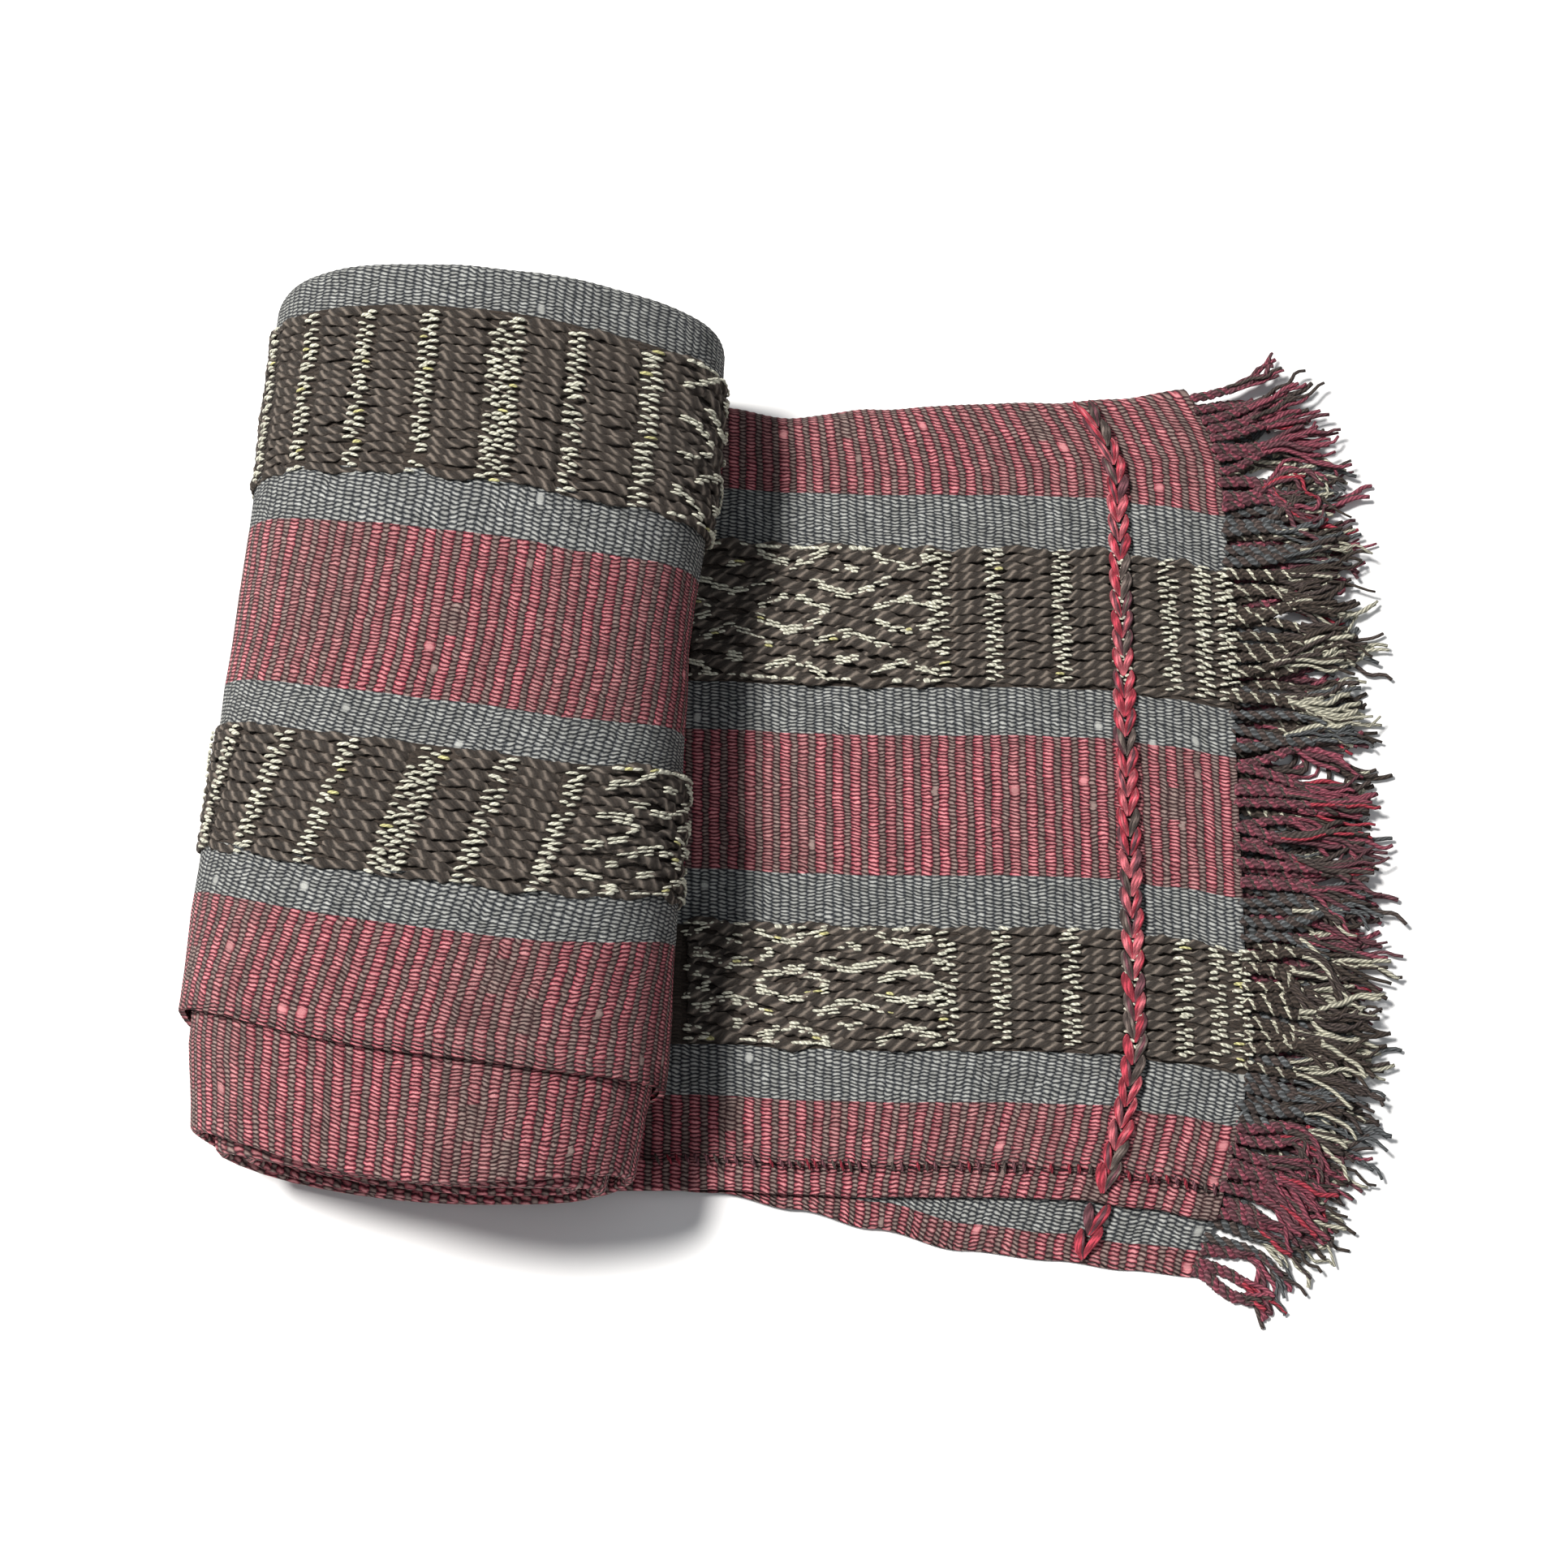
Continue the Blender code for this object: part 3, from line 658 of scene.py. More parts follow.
def yarnMaterial(name, look, light=None, paintedShadeTone=None):
    # Twisted yarn: diagonal marks round the tube, a painted highlight on each ply's ridge and painted shade
    # in the grooves between; the colour is given, or else a tint on the mesh
    material, tree, shader, uv, run, around = startMaterial(name)
    times, plus, minus, fract = shaderMaths(tree)[:4]
    bend = times(noiseAt(tree, uv, fibre["bendScale"]), fibre["bend"])
    turn = plus(times(run, look["turnsPerMetre"]), times(around, look["plies"]))
    phase = fract(plus(turn, bend))
    ridge = remap(tree, calc(tree, "ABSOLUTE", minus(phase, 0.5)), *fibre["ridge"])
    spot = tree.nodes.new("ShaderNodeTexCoord").outputs["Object"]
    fuzz = noiseAt(tree, spot, fibre["fuzzScale"], 3.0)
    patch = noiseAt(tree, spot, fibre["patchScale"])
    if light is None:
        attribute = tree.nodes.new("ShaderNodeAttribute")
        attribute.attribute_name = "tint"
        light = attribute.outputs["Color"]
        paintedShadeTone = scaleColour(tree, light, look["paintedShadeShare"])
    # Painted shade in the grooves between plies, a painted highlight on their ridges
    colour = mixColour(tree, ridge, paintedShadeTone, light)
    amount = times(remap(tree, fuzz, *fibre["fuzzShade"]), remap(tree, patch, *fibre["patchShade"]))
    tree.links.new(scaleColour(tree, colour, amount), shader.inputs["Base Color"])
    addBump(tree, shader, plus(ridge, times(fuzz, fibre["fuzzBump"])), look["bump"])
    return material


yarnLooks = {
    # The shade share is how light the yarn stays in the painted shade between its lit ridges
    "brown": {"turnsPerMetre": -150.0, "plies": 2.0, "bump": 0.0009},
    "cream": {"turnsPerMetre": 500.0, "plies": 2.0, "bump": 0.0002, "paintedShadeShare": 0.70},
    "chain": {"turnsPerMetre": 130.0, "plies": 2.0, "bump": 0.0003, "paintedShadeShare": 0.55},
    "fringe": {"turnsPerMetre": 380.0, "plies": 3.0, "bump": 0.0003, "paintedShadeShare": 0.45},
}
materials = {
    "panelOne": clothMaterial("panel_one_weave", stripesOne),
    "panelTwo": clothMaterial("panel_two_weave", stripesTwo),
    # Brown yarn: its painted highlight on the ridges, then its painted shade between the plies
    "brownYarn": yarnMaterial("brown_float_yarn", yarnLooks["brown"], srgb(120, 110, 101), srgb(74, 66, 60)),
    "creamYarn": yarnMaterial("cream_float_yarn", yarnLooks["cream"]),
    "chainYarn": yarnMaterial("chain_yarn_red", yarnLooks["chain"]),
    "fringeYarn": yarnMaterial("fringe_yarn_tinted", yarnLooks["fringe"]),
}
print("materials ready")


def columnsOf(part, *runs):
    return [(part, share) for run in runs for share in run]


# The two loom widths: their columns, as shares of each part's width
columnsOne = (columnsOf("floor", np.linspace(0, 0.2, 7), np.linspace(0.24, 0.92, 11), (0.96, 1.0))
              + columnsOf("farFold", (0.15, 0.32, 0.5, 0.68, 0.85))
              + columnsOf("top", (1.0, 0.96), np.linspace(0.92, 0.24, 9), np.linspace(0.20, 0, 7)))
columnsTwo = (columnsOf("topEdge", (1.0, 0.5, 0.0))
              + columnsOf("nearFold", (0.2, 0.4, 0.6, 0.8))
              + columnsOf("upper", np.linspace(0, 0.16, 8), np.linspace(0.25, 1.0, 7))
              + columnsOf("innerFold", (0.33, 0.67))
              + columnsOf("lower", np.linspace(1.0, 0.2, 6), np.linspace(0.15, 0, 8)))
panelOne = panelSheet("panel_one_cloth", columnsOne, stripesOne, materials["panelOne"])
panelTwo = panelSheet("panel_two_cloth", columnsTwo, stripesTwo, materials["panelTwo"])

# Brown stripes that show: thick soft yarns that float between lines of cream stitches
yarn = {
    "pitch": 0.0040, "wide": 0.0021, "high": 0.0013, "step": 0.0014, "sides": 8, "float": 0.024,
    "twist": 0.0120, "lobe": 0.18,  # length of one turn of its two plies, and how far they stand out
    "overlap": 0.0022,  # the band's yarns reach past its cloth by this much in all
    "pinch": 0.50, "pinchOver": 0.0030,  # how much a cream line thins the yarn, and over what length
    "sink": 0.0013, "lowOnRoll": -0.0007, "lowOnFlat": 0.0003,
    "latticeSwell": 0.26, "latticeLift": 0.00045, "latticeSway": 0.0009, "latticeOver": 0.006,
    "sways": ((0.0006, 110, 170), (0.0005, 260, 360)),  # reach, then slowest and fastest waves
    "swell": 0.14, "swellWaves": 230, "knots": 0.05, "heave": 0.00025, "heaveWaves": 90, "lineShift": 0.0006,
}
# Cream lines as pairs of (distance along, columns)
flatLines = [(0.0020, 2), (0.0122, 2), (0.0268, 2), (0.0478, 2), (0.0740, 2), (0.1038, 2), (0.1268, 2)]
rollLines = [(0.395, 2), (0.423, 2), (0.450, 2), (0.477, 2), (0.503, 2), (0.529, 2), (0.5565, 2), (0.589, 4),
             (0.619, 2), (0.6475, 2)]
flatBand = {"on": "top", "from": 0.0015, "to": 0.238, "lines": flatLines,
            "lattice": 0.1310, "motifAt": 0.1932}
rollBand = {"on": "roll", "from": 0.372, "lines": rollLines, "lattice": 0.662, "motifAt": 0.712}
brownBands = [
    {**flatBand, "name": "flat_far", "across": 0.4245, "width": 0.062},
    {**flatBand, "name": "flat_near", "across": 0.5965, "width": 0.051},
    {**rollBand, "name": "roll_far", "across": 0.235, "width": 0.071, "to": 0.735},
    {**rollBand, "name": "roll_near", "across": 0.071, "width": 0.0535, "to": 0.755},
]
lineHalf = 0.0017  # half the width of one column of cream stitches


def bandWidthSpot(band, u, across):
    # Width position of a distance across panel one, on the surface that the band lies on
    if band["on"] == "top":
        return edgeAt(1, u) + cloth["seamFromFold"] + cloth["panelWidth"] - across
    spot = edgeAt(4, u) + across
    for step in range(3):
        along = slide(u, spot)
        spot = edgeAt(4, along) + across - sag(along, spot)
    return spot


def bandMapping(band):
    return onTop if band["on"] == "top" else onRoll


def brownYarns(band, seed):
    rng = np.random.default_rng(seed)
    count = round(band["width"] / yarn["pitch"])
    along = np.arange(band["from"], band["to"], yarn["step"])
    u = np.broadcast_to(along, (count, len(along))).copy()
    middle = band["across"] + band["width"] / 2
    across = middle + ((np.arange(count)[:, None] + 0.5) / count - 0.5) * (band["width"] + yarn["overlap"])
    sway = 0
    for reach, slow, fast in yarn["sways"]:
        waves = u * rng.uniform(slow, fast, (count, 1))
        sway = sway + reach * np.sin(waves + rng.uniform(0, tau, (count, 1)))
    # In the lattice the floats are short and thick in the middle, and neighbours alternate
    lattice = rise(u, band["lattice"], yarn["latticeOver"])
    beat = u * tau / yarn["float"] + np.arange(count)[:, None] * pi + rng.uniform(-0.8, 0.8, (count, 1))
    lens = np.sin(beat)
    dip = np.zeros_like(u)
    for spot, columns in band["lines"]:
        half = lineHalf * columns
        away = np.abs(u - spot - rng.normal(0, yarn["lineShift"], (count, 1))) - half
        dip = np.maximum(dip, 1 - smooth(away / yarn["pinchOver"]))
    swell = 1 + yarn["swell"] * np.sin(u * yarn["swellWaves"] + rng.uniform(0, tau, (count, 1)))
    swell = swell + rng.normal(0, yarn["knots"], u.shape)
    swell = swell * (1 + lattice * yarn["latticeSwell"] * lens)
    wide = yarn["wide"] * swell * (1 - yarn["pinch"] * dip)
    high = yarn["high"] * swell * (1 - yarn["pinch"] * dip)
    low = yarn["lowOnRoll"] if band["on"] == "roll" else yarn["lowOnFlat"]
    heave = np.sin(u * yarn["heaveWaves"] + rng.uniform(0, tau, (count, 1)))
    lift = low - yarn["sink"] * dip + yarn["heave"] * heave
    lift = lift + lattice * yarn["latticeLift"] * lens
    sway = sway + lattice * yarn["latticeSway"] * np.cos(beat)
    twist = -u / yarn["twist"] * tau + rng.uniform(0, tau, (count, 1))
    y = bandWidthSpot(band, u, across + sway)
    batch = tubeBatch(bandMapping(band), u, y, lift, wide, high, yarn["sides"], twist, yarn["lobe"])
    return joinBatches("brown_yarns_" + band["name"], [batch], materials["brownYarn"])


# One repeat of the lattice as lines of (share of the repeat, share of the half width), both sides alike
repeat = 0.0505
motif = [
    [(-0.30, 0.93), (-0.20, 0.82), (-0.10, 0.75), (0.0, 0.68), (0.10, 0.75), (0.20, 0.82), (0.30, 0.93)],
    [(0.17, 0.48), (0.27, 0.42), (0.42, 0.30), (0.50, 0.25), (0.58, 0.30), (0.73, 0.42), (0.83, 0.48)],
    [(-0.30, 0.04), (-0.22, 0.12), (-0.12, 0.20), (0.0, 0.24), (0.12, 0.20), (0.22, 0.12), (0.30, 0.04)],
    [(0.44, 0.67), (0.58, 0.69)],
]
cream = {
    "pitch": 0.0032, "step": 0.0034, "half": 0.0023, "wide": 0.00070, "high": 0.00058, "row": 0.0016,
    "arch": 0.0007, "dive": 0.0003,  # a stitch stands up in the middle and dives in at its ends
    "lineLift": 0.0007, "latticeLift": 0.0016, "edgeLift": 0.0012, "edgeInset": 0.0006,
    "lineSkips": 0.08, "edgeShare": 0.62, "rowShares": (0.95, 0.80, 0.22), "slopeShare": 0.35,
    "tone": srgb(238, 236, 216), "yellow": srgb(228, 222, 158), "yellowShare": 0.03,
}


def stitchBatch(band, spots, rng):
    # Short cream floats: rows of along, across, half length, slope, lift and size
    spots = np.array(spots)
    share = np.array([-1.0, -0.62, 0.0, 0.62, 1.0])
    half = spots[:, 2:3] * rng.uniform(0.75, 1.2, (len(spots), 1))
    u = spots[:, 0:1] + share * half
    across = spots[:, 1:2] + spots[:, 3:4] * share * half
    fat = spots[:, 5:6] * rng.uniform(0.72, 1.25, (len(spots), 1)) * np.array([0.40, 0.92, 1.0, 0.92, 0.40])
    lift = spots[:, 4:5] + cream["arch"] * (1 - share**2) - cream["dive"]
    y = bandWidthSpot(band, u, across)
    yellow = rng.uniform(size=(len(spots), 1)) < cream["yellowShare"]
    tints = np.where(yellow, np.array(cream["yellow"]), np.array(cream["tone"]))
    tints = tints * rng.uniform(0.85, 1.05, (len(spots), 1))
    return tubeBatch(bandMapping(band), u, y, lift, cream["wide"] * fat, cream["high"] * fat, 6), tints


def lineSpots(band, rng):
    # Two columns of dashes or more where the wefts tie the brown yarns down
    count = round(band["width"] / cream["pitch"])
    step = band["width"] / count
    spots = []
    for spot, columns in band["lines"]:
        for column in range(columns):
            shift = (column - (columns - 1) / 2) * 2 * lineHalf
            for row in range(count + 1):
                across = band["across"] + (row + 0.5 * (column % 2)) * step
                if across < band["across"] + band["width"] and rng.uniform() > cream["lineSkips"]:
                    spots.append((spot + shift + rng.normal(0, 0.0005), across + rng.normal(0, 0.0003),
                                  cream["half"], rng.normal(0, 0.12), cream["lineLift"], 1.0))
    return spots


def latticeSpots(band, rng):
    ahead = 0.02  # share of the repeat over which a line's slope is taken
    half = band["width"] / 2
    middle = band["across"] + half
    spots = []
    for column, u in enumerate(np.arange(band["lattice"], band["to"], cream["step"])):
        for line in motif:
            start, end = line[0][0], line[-1][0]
            share = start + ((u - band["motifAt"]) / repeat - start) % 1
            if share > end:
                continue
            reach = lookUp(line, share) * half
            further = lookUp(line, share + ahead) * half
            slope = (further - reach) / (ahead * repeat)
            for side in (-1, 1):
                for row, chance in enumerate(cream["rowShares"]):
                    if rng.uniform() < chance:
                        shift = (row - 0.7 + 0.5 * (column % 2)) * cream["row"]
                        spot = u + rng.normal(0, 0.0004)
                        lean = side * slope * cream["slopeShare"] + rng.normal(0, 0.06)
                        spots.append((spot, middle + side * (reach + shift), cream["half"], lean,
                                      cream["latticeLift"], 0.9))
        for side in (-1, 1):
            if rng.uniform() < cream["edgeShare"]:
                edgeSpot = middle + side * (half - cream["edgeInset"])
                spots.append((u + rng.normal(0, 0.0006), edgeSpot, cream["half"], rng.normal(0, 0.05),
                              cream["edgeLift"], rng.choice([0.8, 1.1, 1.5])))
    return spots


def creamStitches(band, seed):
    rng = np.random.default_rng(seed)
    batch, tints = stitchBatch(band, lineSpots(band, rng) + latticeSpots(band, rng), rng)
    return joinBatches("cream_stitches_" + band["name"], [batch], materials["creamYarn"], [tints])


bandPieces = []
for number, band in enumerate(brownBands):
    bandPieces += [brownYarns(band, 10 + number), creamStitches(band, 30 + number)]

# Rows of thick chain stitch over the flat part, and the whipped seam
tones = {
    "red": srgb(196, 72, 88), "pink": srgb(216, 114, 124), "redDeep": srgb(156, 50, 66),
    "redDull": srgb(166, 88, 104), "maroon": srgb(122, 78, 86),
    "dark": srgb(92, 80, 76), "greyDeep": srgb(107, 110, 112), "dun": srgb(126, 112, 106),
    "brown": srgb(84, 73, 66), "cream": srgb(222, 218, 196),
}
chain = {
    "along": 0.048, "link": 0.0088, "spread": 0.0042, "strand": 0.0011, "wide": 0.00104, "high": 0.0009,
    "reach": 1.42,  # a drop is this many links long, so that drops overlap
    "lift": 0.0008, "arch": 0.0012, "sideArch": 0.0003, "dullShare": 0.22,
    "bright": (("red", "pink", "maroon"), (0.45, 0.37, 0.18)),
    "dull": (("maroon", "dun", "dark"), (0.3, 0.4, 0.3)),
    # how far the row stops from the near fold and the far one, and from the lower layer's edge
    "nearGap": 0.003, "farGap": 0.006, "edgeGap": 0.0015, "foldGap": 0.0035,
}


def pickTones(rng, names, shares, count):
    table = np.array([tones[name] for name in names])
    return table[rng.choice(len(names), count, p=shares)] * rng.uniform(0.85, 1.12, (count, 1))


def chainRow(name, mapping, first, last, seed):
    # Fat drops in pairs, each of three threads, whose narrow ends meet in the middle
    rng = np.random.default_rng(seed)
    count = int((last - first) / chain["link"])
    share = np.linspace(0, 1, 11)
    batches, tints = [], []
    for side in (-1, 1):
        base = first + np.arange(count)[:, None] * (last - first) / count + rng.normal(0, 0.0004, (count, 1))
        dull = rng.uniform(size=(count, 1)) < chain["dullShare"]
        puff = rng.uniform(0.88, 1.15, (count, 1))
        for strand in (-1, 0, 1):
            bow = np.sin(pi * np.clip(share * 0.94 + 0.03, 0, 1) ** 1.25) ** 0.85
            y = base + share * chain["link"] * (chain["reach"] + 0.05 * strand)
            out = 0.0003 + chain["spread"] * share - 0.0012 * share**5
            u = chain["along"] - side * (out + strand * chain["strand"] * bow)
            u = u + rng.normal(0, 0.0002, (count, 1))
            wide = chain["wide"] * (0.35 + 0.65 * bow) * puff * rng.uniform(0.85, 1.15, (count, 1))
            high = chain["high"] * (0.45 + 0.55 * bow) * puff
            arch = chain["arch"] - chain["sideArch"] * abs(strand)
            lift = chain["lift"] + arch * np.sin(pi * share) * puff
            batches.append(tubeBatch(mapping, u, y, lift, wide, high, 7))
            brightTones = pickTones(rng, *chain["bright"], count)
            dullTones = pickTones(rng, *chain["dull"], count)
            tints.append(np.where(dull, dullTones, brightTones))
    return joinBatches(name, batches, materials["chainYarn"], tints)


near, far, edge = (float(edgeAt(column, chain["along"])) for column in (1, 2, 3))
chainTop = chainRow("chain_top", onTop, near + chain["nearGap"], far - chain["farGap"], 51)
chainEdge = chainRow("chain_edge", onLower, edge + chain["edgeGap"], near - chain["foldGap"], 52)

seam = {
    "first": 0.004, "last": 0.250, "pitch": 0.0040, "skips": 0.2, "slant": 0.0011, "half": (0.0018, 0.0026),
    "thick": 0.00075, "lift": 0.0004, "arch": 0.0008, "tones": ("redDeep", "maroon", "dark"),
}


def seamStitches(seed):
    rng = np.random.default_rng(seed)
    spots = np.arange(seam["first"], seam["last"], seam["pitch"])
    spots = spots[rng.uniform(size=len(spots)) > seam["skips"]] + rng.normal(0, 0.0005)
    share = np.linspace(-1, 1, 7)
    middle = edgeAt(1, spots)[:, None] + cloth["seamFromFold"]
    u = spots[:, None] + share * seam["slant"] + rng.normal(0, 0.0003, (len(spots), 1))
    y = middle + share * rng.uniform(*seam["half"], (len(spots), 1))
    lift = seam["lift"] + seam["arch"] * (1 - share**2) + 0 * u
    wide = seam["thick"] * (1 - 0.5 * share**2) + 0 * u
    batch = tubeBatch(onTop, u, y, lift, wide, wide * 0.9, 6)
    pick = rng.integers(0, len(seam["tones"]), len(spots))
    tint = np.array([tones[name] for name in seam["tones"]])[pick]
    return joinBatches("seam_stitches", [batch], materials["fringeYarn"], [tint])


seamLine = seamStitches(61)
print("bands, chain rows and seam ready")

# Fringe: twisted ropes of yarn that open into loose threads
fan = [
    # share of the folded width, degrees from +X towards the far side, length
    (-0.10, -58, 0.62), (-0.02, -52, 0.76), (0.10, -26, 0.95), (0.30, -10, 1.00), (0.60, 2, 1.00),
    (0.85, 12, 0.95), (1.00, 34, 0.85),
]
fringes = [
    {"name": "fringe_top_ends", "node": "fringe_top", "part": "top", "ropes": 54, "length": 0.062,
     "droop": 0.22, "rise": 0.0026, "fan": 1.0, "stripes": stripesOne},
    {"name": "fringe_upper_ends", "node": "fringe_upper", "part": "upper", "ropes": 46, "length": 0.064,
     "droop": 0.25, "rise": 0.0008, "fan": 0.8, "stripes": stripesTwo},
    {"name": "fringe_lower_ends", "node": "fringe_lower", "part": "lower", "ropes": 50, "length": 0.068,
     "droop": 0.30, "rise": 0.0008, "fan": 0.9, "stripes": stripesTwo},
    {"name": "fringe_floor_ends", "node": "fringe_floor", "part": "floor", "ropes": 38, "length": 0.050,
     "droop": 0.0, "rise": 0.0008, "fan": 0.45, "stripes": stripesOne},
]
rope = {
    "ply": 0.00140, "gap": 0.00120, "turn": 0.0078, "rings": 22, "lean": 0.12, "sway": 0.45,
    "lengths": (0.78, 1.08), "sizes": (0.85, 1.20), "tuck": (0.0020, 0.0042), "points": 40,
    "split": (0.38, 0.64),  # share of its length where a rope opens into threads
    "clump": 3.5, "clumpPull": 0.8,  # how many neighbours lean together, and how much
    "crowd": 0.045,  # ropes stand closer together towards both folds
    "threads": 8, "thread": 0.00094, "threadSizes": (0.75, 1.35), "threadEnds": (0.72, 1.05),
    "spread": 0.0055, "crimp": (0.0004, 0.0022), "crimpWaves": (14, 34),
    "thirdSlim": 0.60, "thirdOut": 1.5, "flatten": 0.62, "lowest": 0.0010,
}
ropeTones = {
    # the plies, then the loose threads with their shares
    "red": (("redDull", "maroon", "dark"), ("red", "redDull", "maroon", "dark"), (0.08, 0.32, 0.32, 0.28)),
    "grey": (("greyDeep", "dark"), ("greyDeep", "dark", "brown", "cream"), (0.40, 0.26, 0.18, 0.16)),
    "brown": (("brown", "brown", "cream"), ("brown", "dark", "cream"), (0.42, 0.26, 0.32)),
}


def kindAt(stripes, across):
    ends = np.cumsum([width for name, width in stripes])
    return stripes[min(int(np.searchsorted(ends, across)), len(stripes) - 1)][0]


def ropePath(root, turn, length, layer, rng):
    share = np.linspace(0, 1, rope["points"])
    sway = rng.normal(0, rope["sway"]) * np.sin(share * 6 + rng.uniform(0, tau)) * share**0.6
    bend = turn * (0.3 + 0.7 * share) + sway
    step = length / (rope["points"] - 1)
    x = root[0] - rng.uniform(*rope["tuck"]) + np.cumsum(step * np.cos(bend))
    y = root[1] + np.cumsum(step * np.sin(bend))
    z = root[2] * (1 - layer["droop"] * share) + rng.uniform(0, 0.0014) * np.sin(pi * share)
    z = z + layer["rise"] * (1 - share)**8
    return share, x, y, z, bend


def beside(spine, at, sideways, ahead=0.0):
    # Spots beside a rope's middle line, and past its end
    share, x, y, z, bend = spine
    turn = np.interp(at, share, bend)
    return (np.interp(at, share, x) + np.cos(turn) * ahead - np.sin(turn) * sideways,
            np.interp(at, share, y) + np.sin(turn) * ahead + np.cos(turn) * sideways,
            np.interp(at, share, z))


def plyPaths(spine, split, length, names, rng):
    # Plies wound round each other up to where the rope opens; a third is thin and lies over the others
    at = np.linspace(0, split + 0.08, rope["rings"])
    phase = at * length * tau / rope["turn"] + rng.uniform(0, tau)
    shrink = 1 - 0.35 * smooth((at - split + 0.12) / 0.20)
    size = rng.uniform(*rope["sizes"])
    for number, name in enumerate(names):
        third = number == 2
        reach = rope["gap"] * size * shrink * (rope["thirdOut"] if third else 1.0)
        spin = phase + pi * number + 0.8 * third
        x, y, z = beside(spine, at, reach * np.cos(spin))
        z = np.maximum(z + rope["flatten"] * reach * np.sin(spin), rope["lowest"])
        wide = rope["ply"] * size * shrink * (rope["thirdSlim"] if third else 1.0)
        yield (x, y, z, wide), np.array(tones[name]) * rng.uniform(0.8, 1.12)


def threadPaths(spine, split, length, names, shares, rng):
    # Loose threads that spread from where the rope opens, each crimped in its own way
    for thread in range(rope["threads"]):
        at = np.linspace(split - 0.05, rng.uniform(*rope["threadEnds"]), 14)
        loose = np.clip((at - split) / (1 - split), 0, 1.2)
        drift = rng.normal(0, rope["spread"]) * loose + rng.normal(0, 0.0009)
        crimp = rng.uniform(*rope["crimp"])
        drift = drift + crimp * np.sin(at * rng.uniform(*rope["crimpWaves"]) + rng.uniform(0, tau)) * loose
        x, y, z = beside(spine, at, drift, np.maximum(at - 1, 0) * length)
        z = np.maximum(z + rng.normal(0, 0.0010), rope["thread"])
        wide = rope["thread"] * rng.uniform(*rope["threadSizes"]) * (1 - 0.35 * loose**3 / 1.7)
        yield (x, y, z, wide), pickTones(rng, names, shares, 1)[0]


def fringeEnds(layer, seed):
    rng = np.random.default_rng(seed)
    count = layer["ropes"]
    shares = (np.arange(count) + 0.5 + rng.uniform(-0.25, 0.25, count)) / count
    shares = shares + rope["crowd"] * np.sin(tau * (shares - 0.5))
    y, offset, across = sectionAt(layer["part"], shares, np.zeros_like(shares))
    roots = place(np.zeros_like(shares), y, offset)
    # Neighbouring ropes lean together in clumps of three or four
    clump = np.floor(np.arange(count) / rope["clump"])
    middles = np.array([roots[clump == number, 1].mean() for number in clump])
    plies, threads = [], []
    for root, spot, middle in zip(roots, across, middles):
        widthShare = (root[1] + cloth["centre"][1]) / cloth["foldedWidth"]
        turn = radians(lookUp(fan, widthShare)) * layer["fan"] + rng.normal(0, rope["lean"])
        length = layer["length"] * lookUp(fan, widthShare, 2) * rng.uniform(*rope["lengths"])
        turn = turn + rope["clumpPull"] * (middle - root[1]) / length
        spine = ropePath(root, turn, length, layer, rng)
        split = rng.uniform(*rope["split"])
        plyNames, threadNames, threadShares = ropeTones[kindAt(layer["stripes"], spot)]
        plies += plyPaths(spine, split, length, plyNames, rng)
        threads += threadPaths(spine, split, length, threadNames, threadShares, rng)
    batches, tints = [], []
    for made, flatten, sides in ((plies, 0.85, 7), (threads, 0.9, 4)):
        x, y, z, wide = (np.array(values) for values in zip(*(path for path, tone in made)))
        batches.append(tubeBatch(level, x, y, z, wide, wide * flatten, sides))
        tints.append(np.array([tone for path, tone in made]))
    return joinBatches(layer["name"], batches, materials["fringeYarn"], tints)


fringePieces = [fringeEnds(layer, 70 + number) for number, layer in enumerate(fringes)]
print("fringe ready")

# What each piece stands for, rides on and is finished like
standsFor = [
    (panelOne, "panel_one", "red_stripe_cloth"), (panelTwo, "panel_two", "grey_stripe_cloth"),
    (chainTop, "chain_row_top", "chain_yarn"), (chainEdge, "chain_row_edge", "chain_yarn"),
]
standsFor += [(piece, layer["node"], "fringe_yarn") for piece, layer in zip(fringePieces, fringes)]
for piece, node, slot in standsFor:
    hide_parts(node)
allPieces = [panelOne, panelTwo, chainTop, chainEdge, seamLine] + bandPieces + fringePieces
for piece in allPieces:
    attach(piece, "root")

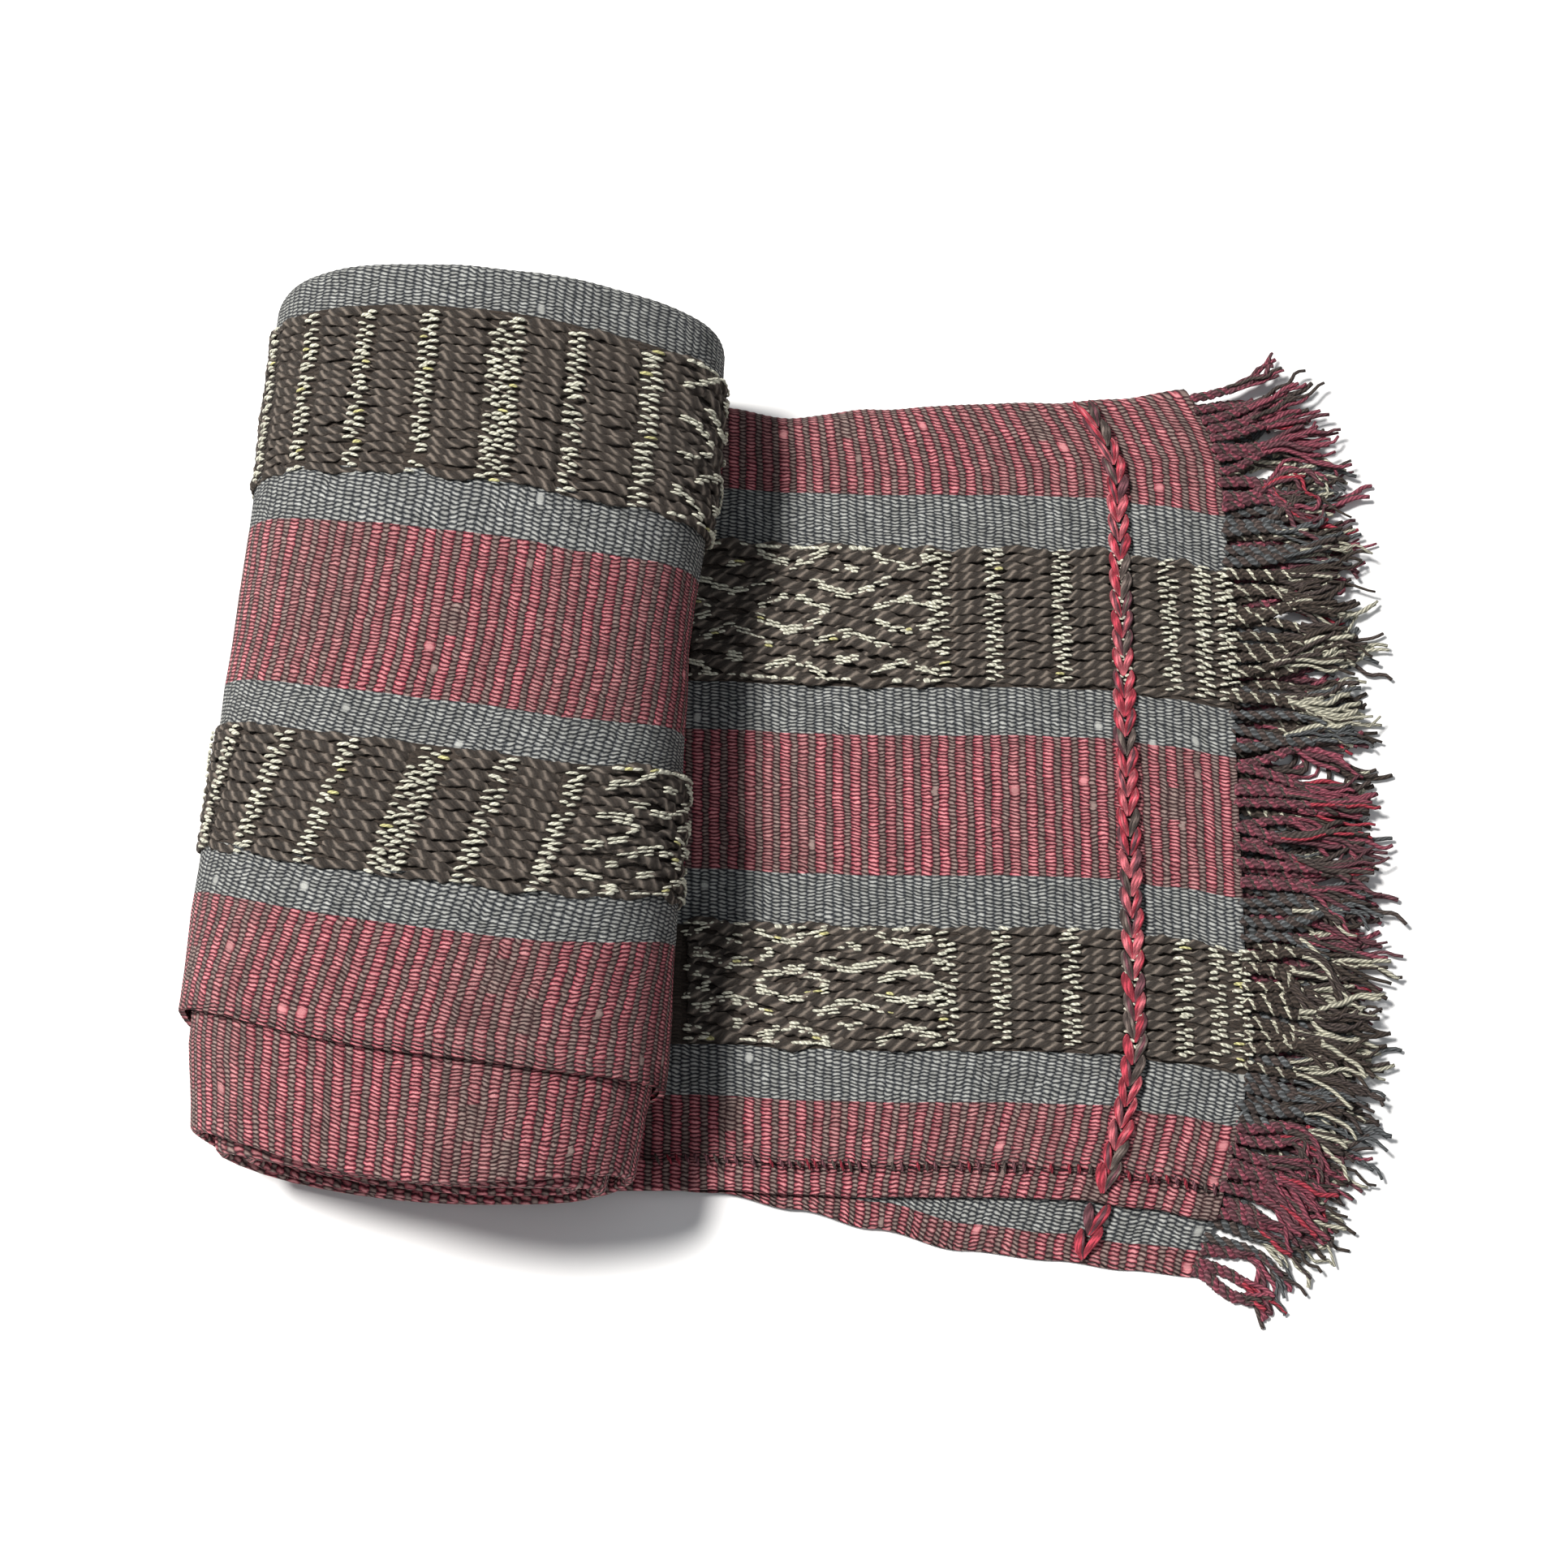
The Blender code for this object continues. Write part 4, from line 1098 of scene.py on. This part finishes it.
# Floor, light and camera
studio = {
    "floorHalf": 4.0, "floorDrop": 0.0004, "floorColour": (0.86, 0.86, 0.86),
    "sky": (0.95, 0.97, 1.0), "skyStrength": 0.17,
    "target": (-0.0088, 0.0115, 0.010), "distance": 1.28, "elevation": 74, "lens": 68, "sensor": 36,
}
lights = [
    # name, place, diameter, power and colour
    ("key", (-2.4, 0.8, 4.8), 1.1, 455, (1.0, 0.98, 0.95)),
    ("top_fill", (0.3, -0.2, 2.4), 2.2, 7, (0.88, 0.94, 1.0)),
    ("front_fill", (0.8, -2.0, 1.2), 1.6, 6, (1.0, 1.0, 1.0)),
]


def makeFloor():
    data = bpy.data.meshes.new("floor")
    size = studio["floorHalf"]
    corners = [(-size, -size, 0), (size, -size, 0), (size, size, 0), (-size, size, 0)]
    data.from_pydata(corners, [], [(0, 1, 2, 3)])
    made = bpy.data.objects.new("floor", data)
    bpy.context.scene.collection.objects.link(made)
    material = bpy.data.materials.new("floor_white")
    material.use_nodes = True
    shader = material.node_tree.nodes["Principled BSDF"]
    shader.inputs["Base Color"].default_value = (*studio["floorColour"], 1)
    shader.inputs["Roughness"].default_value = 0.9
    data.materials.append(material)
    made.location.z = -studio["floorDrop"]


def areaLight(name, spot, size, power, colour):
    data = bpy.data.lights.new(name, "AREA")
    data.shape = "DISK"
    data.size = size
    data.energy = power
    data.color = colour
    made = bpy.data.objects.new(name, data)
    made.location = spot
    made.rotation_euler = (-Vector(spot)).to_track_quat("-Z", "Y").to_euler()
    bpy.context.scene.collection.objects.link(made)


makeFloor()
for light in lights:
    areaLight(*light)
world = bpy.data.worlds.new("studio")
world.use_nodes = True
world.node_tree.nodes["Background"].inputs[0].default_value = (*studio["sky"], 1)
world.node_tree.nodes["Background"].inputs[1].default_value = studio["skyStrength"]
bpy.context.scene.world = world
bpy.context.scene.view_settings.view_transform = "Standard"

target = Vector(studio["target"])
elevation = radians(studio["elevation"])
cameraData = bpy.data.cameras.new("camera")
cameraData.lens = studio["lens"]
cameraData.sensor_width = studio["sensor"]
camera = bpy.data.objects.new("camera", cameraData)
camera.location = target + studio["distance"] * Vector((0, -cos(elevation), sin(elevation)))
camera.rotation_euler = (target - camera.location).to_track_quat("-Z", "Y").to_euler()
bpy.context.scene.collection.objects.link(camera)
bpy.context.scene.camera = camera
print("stage, lights and camera ready")
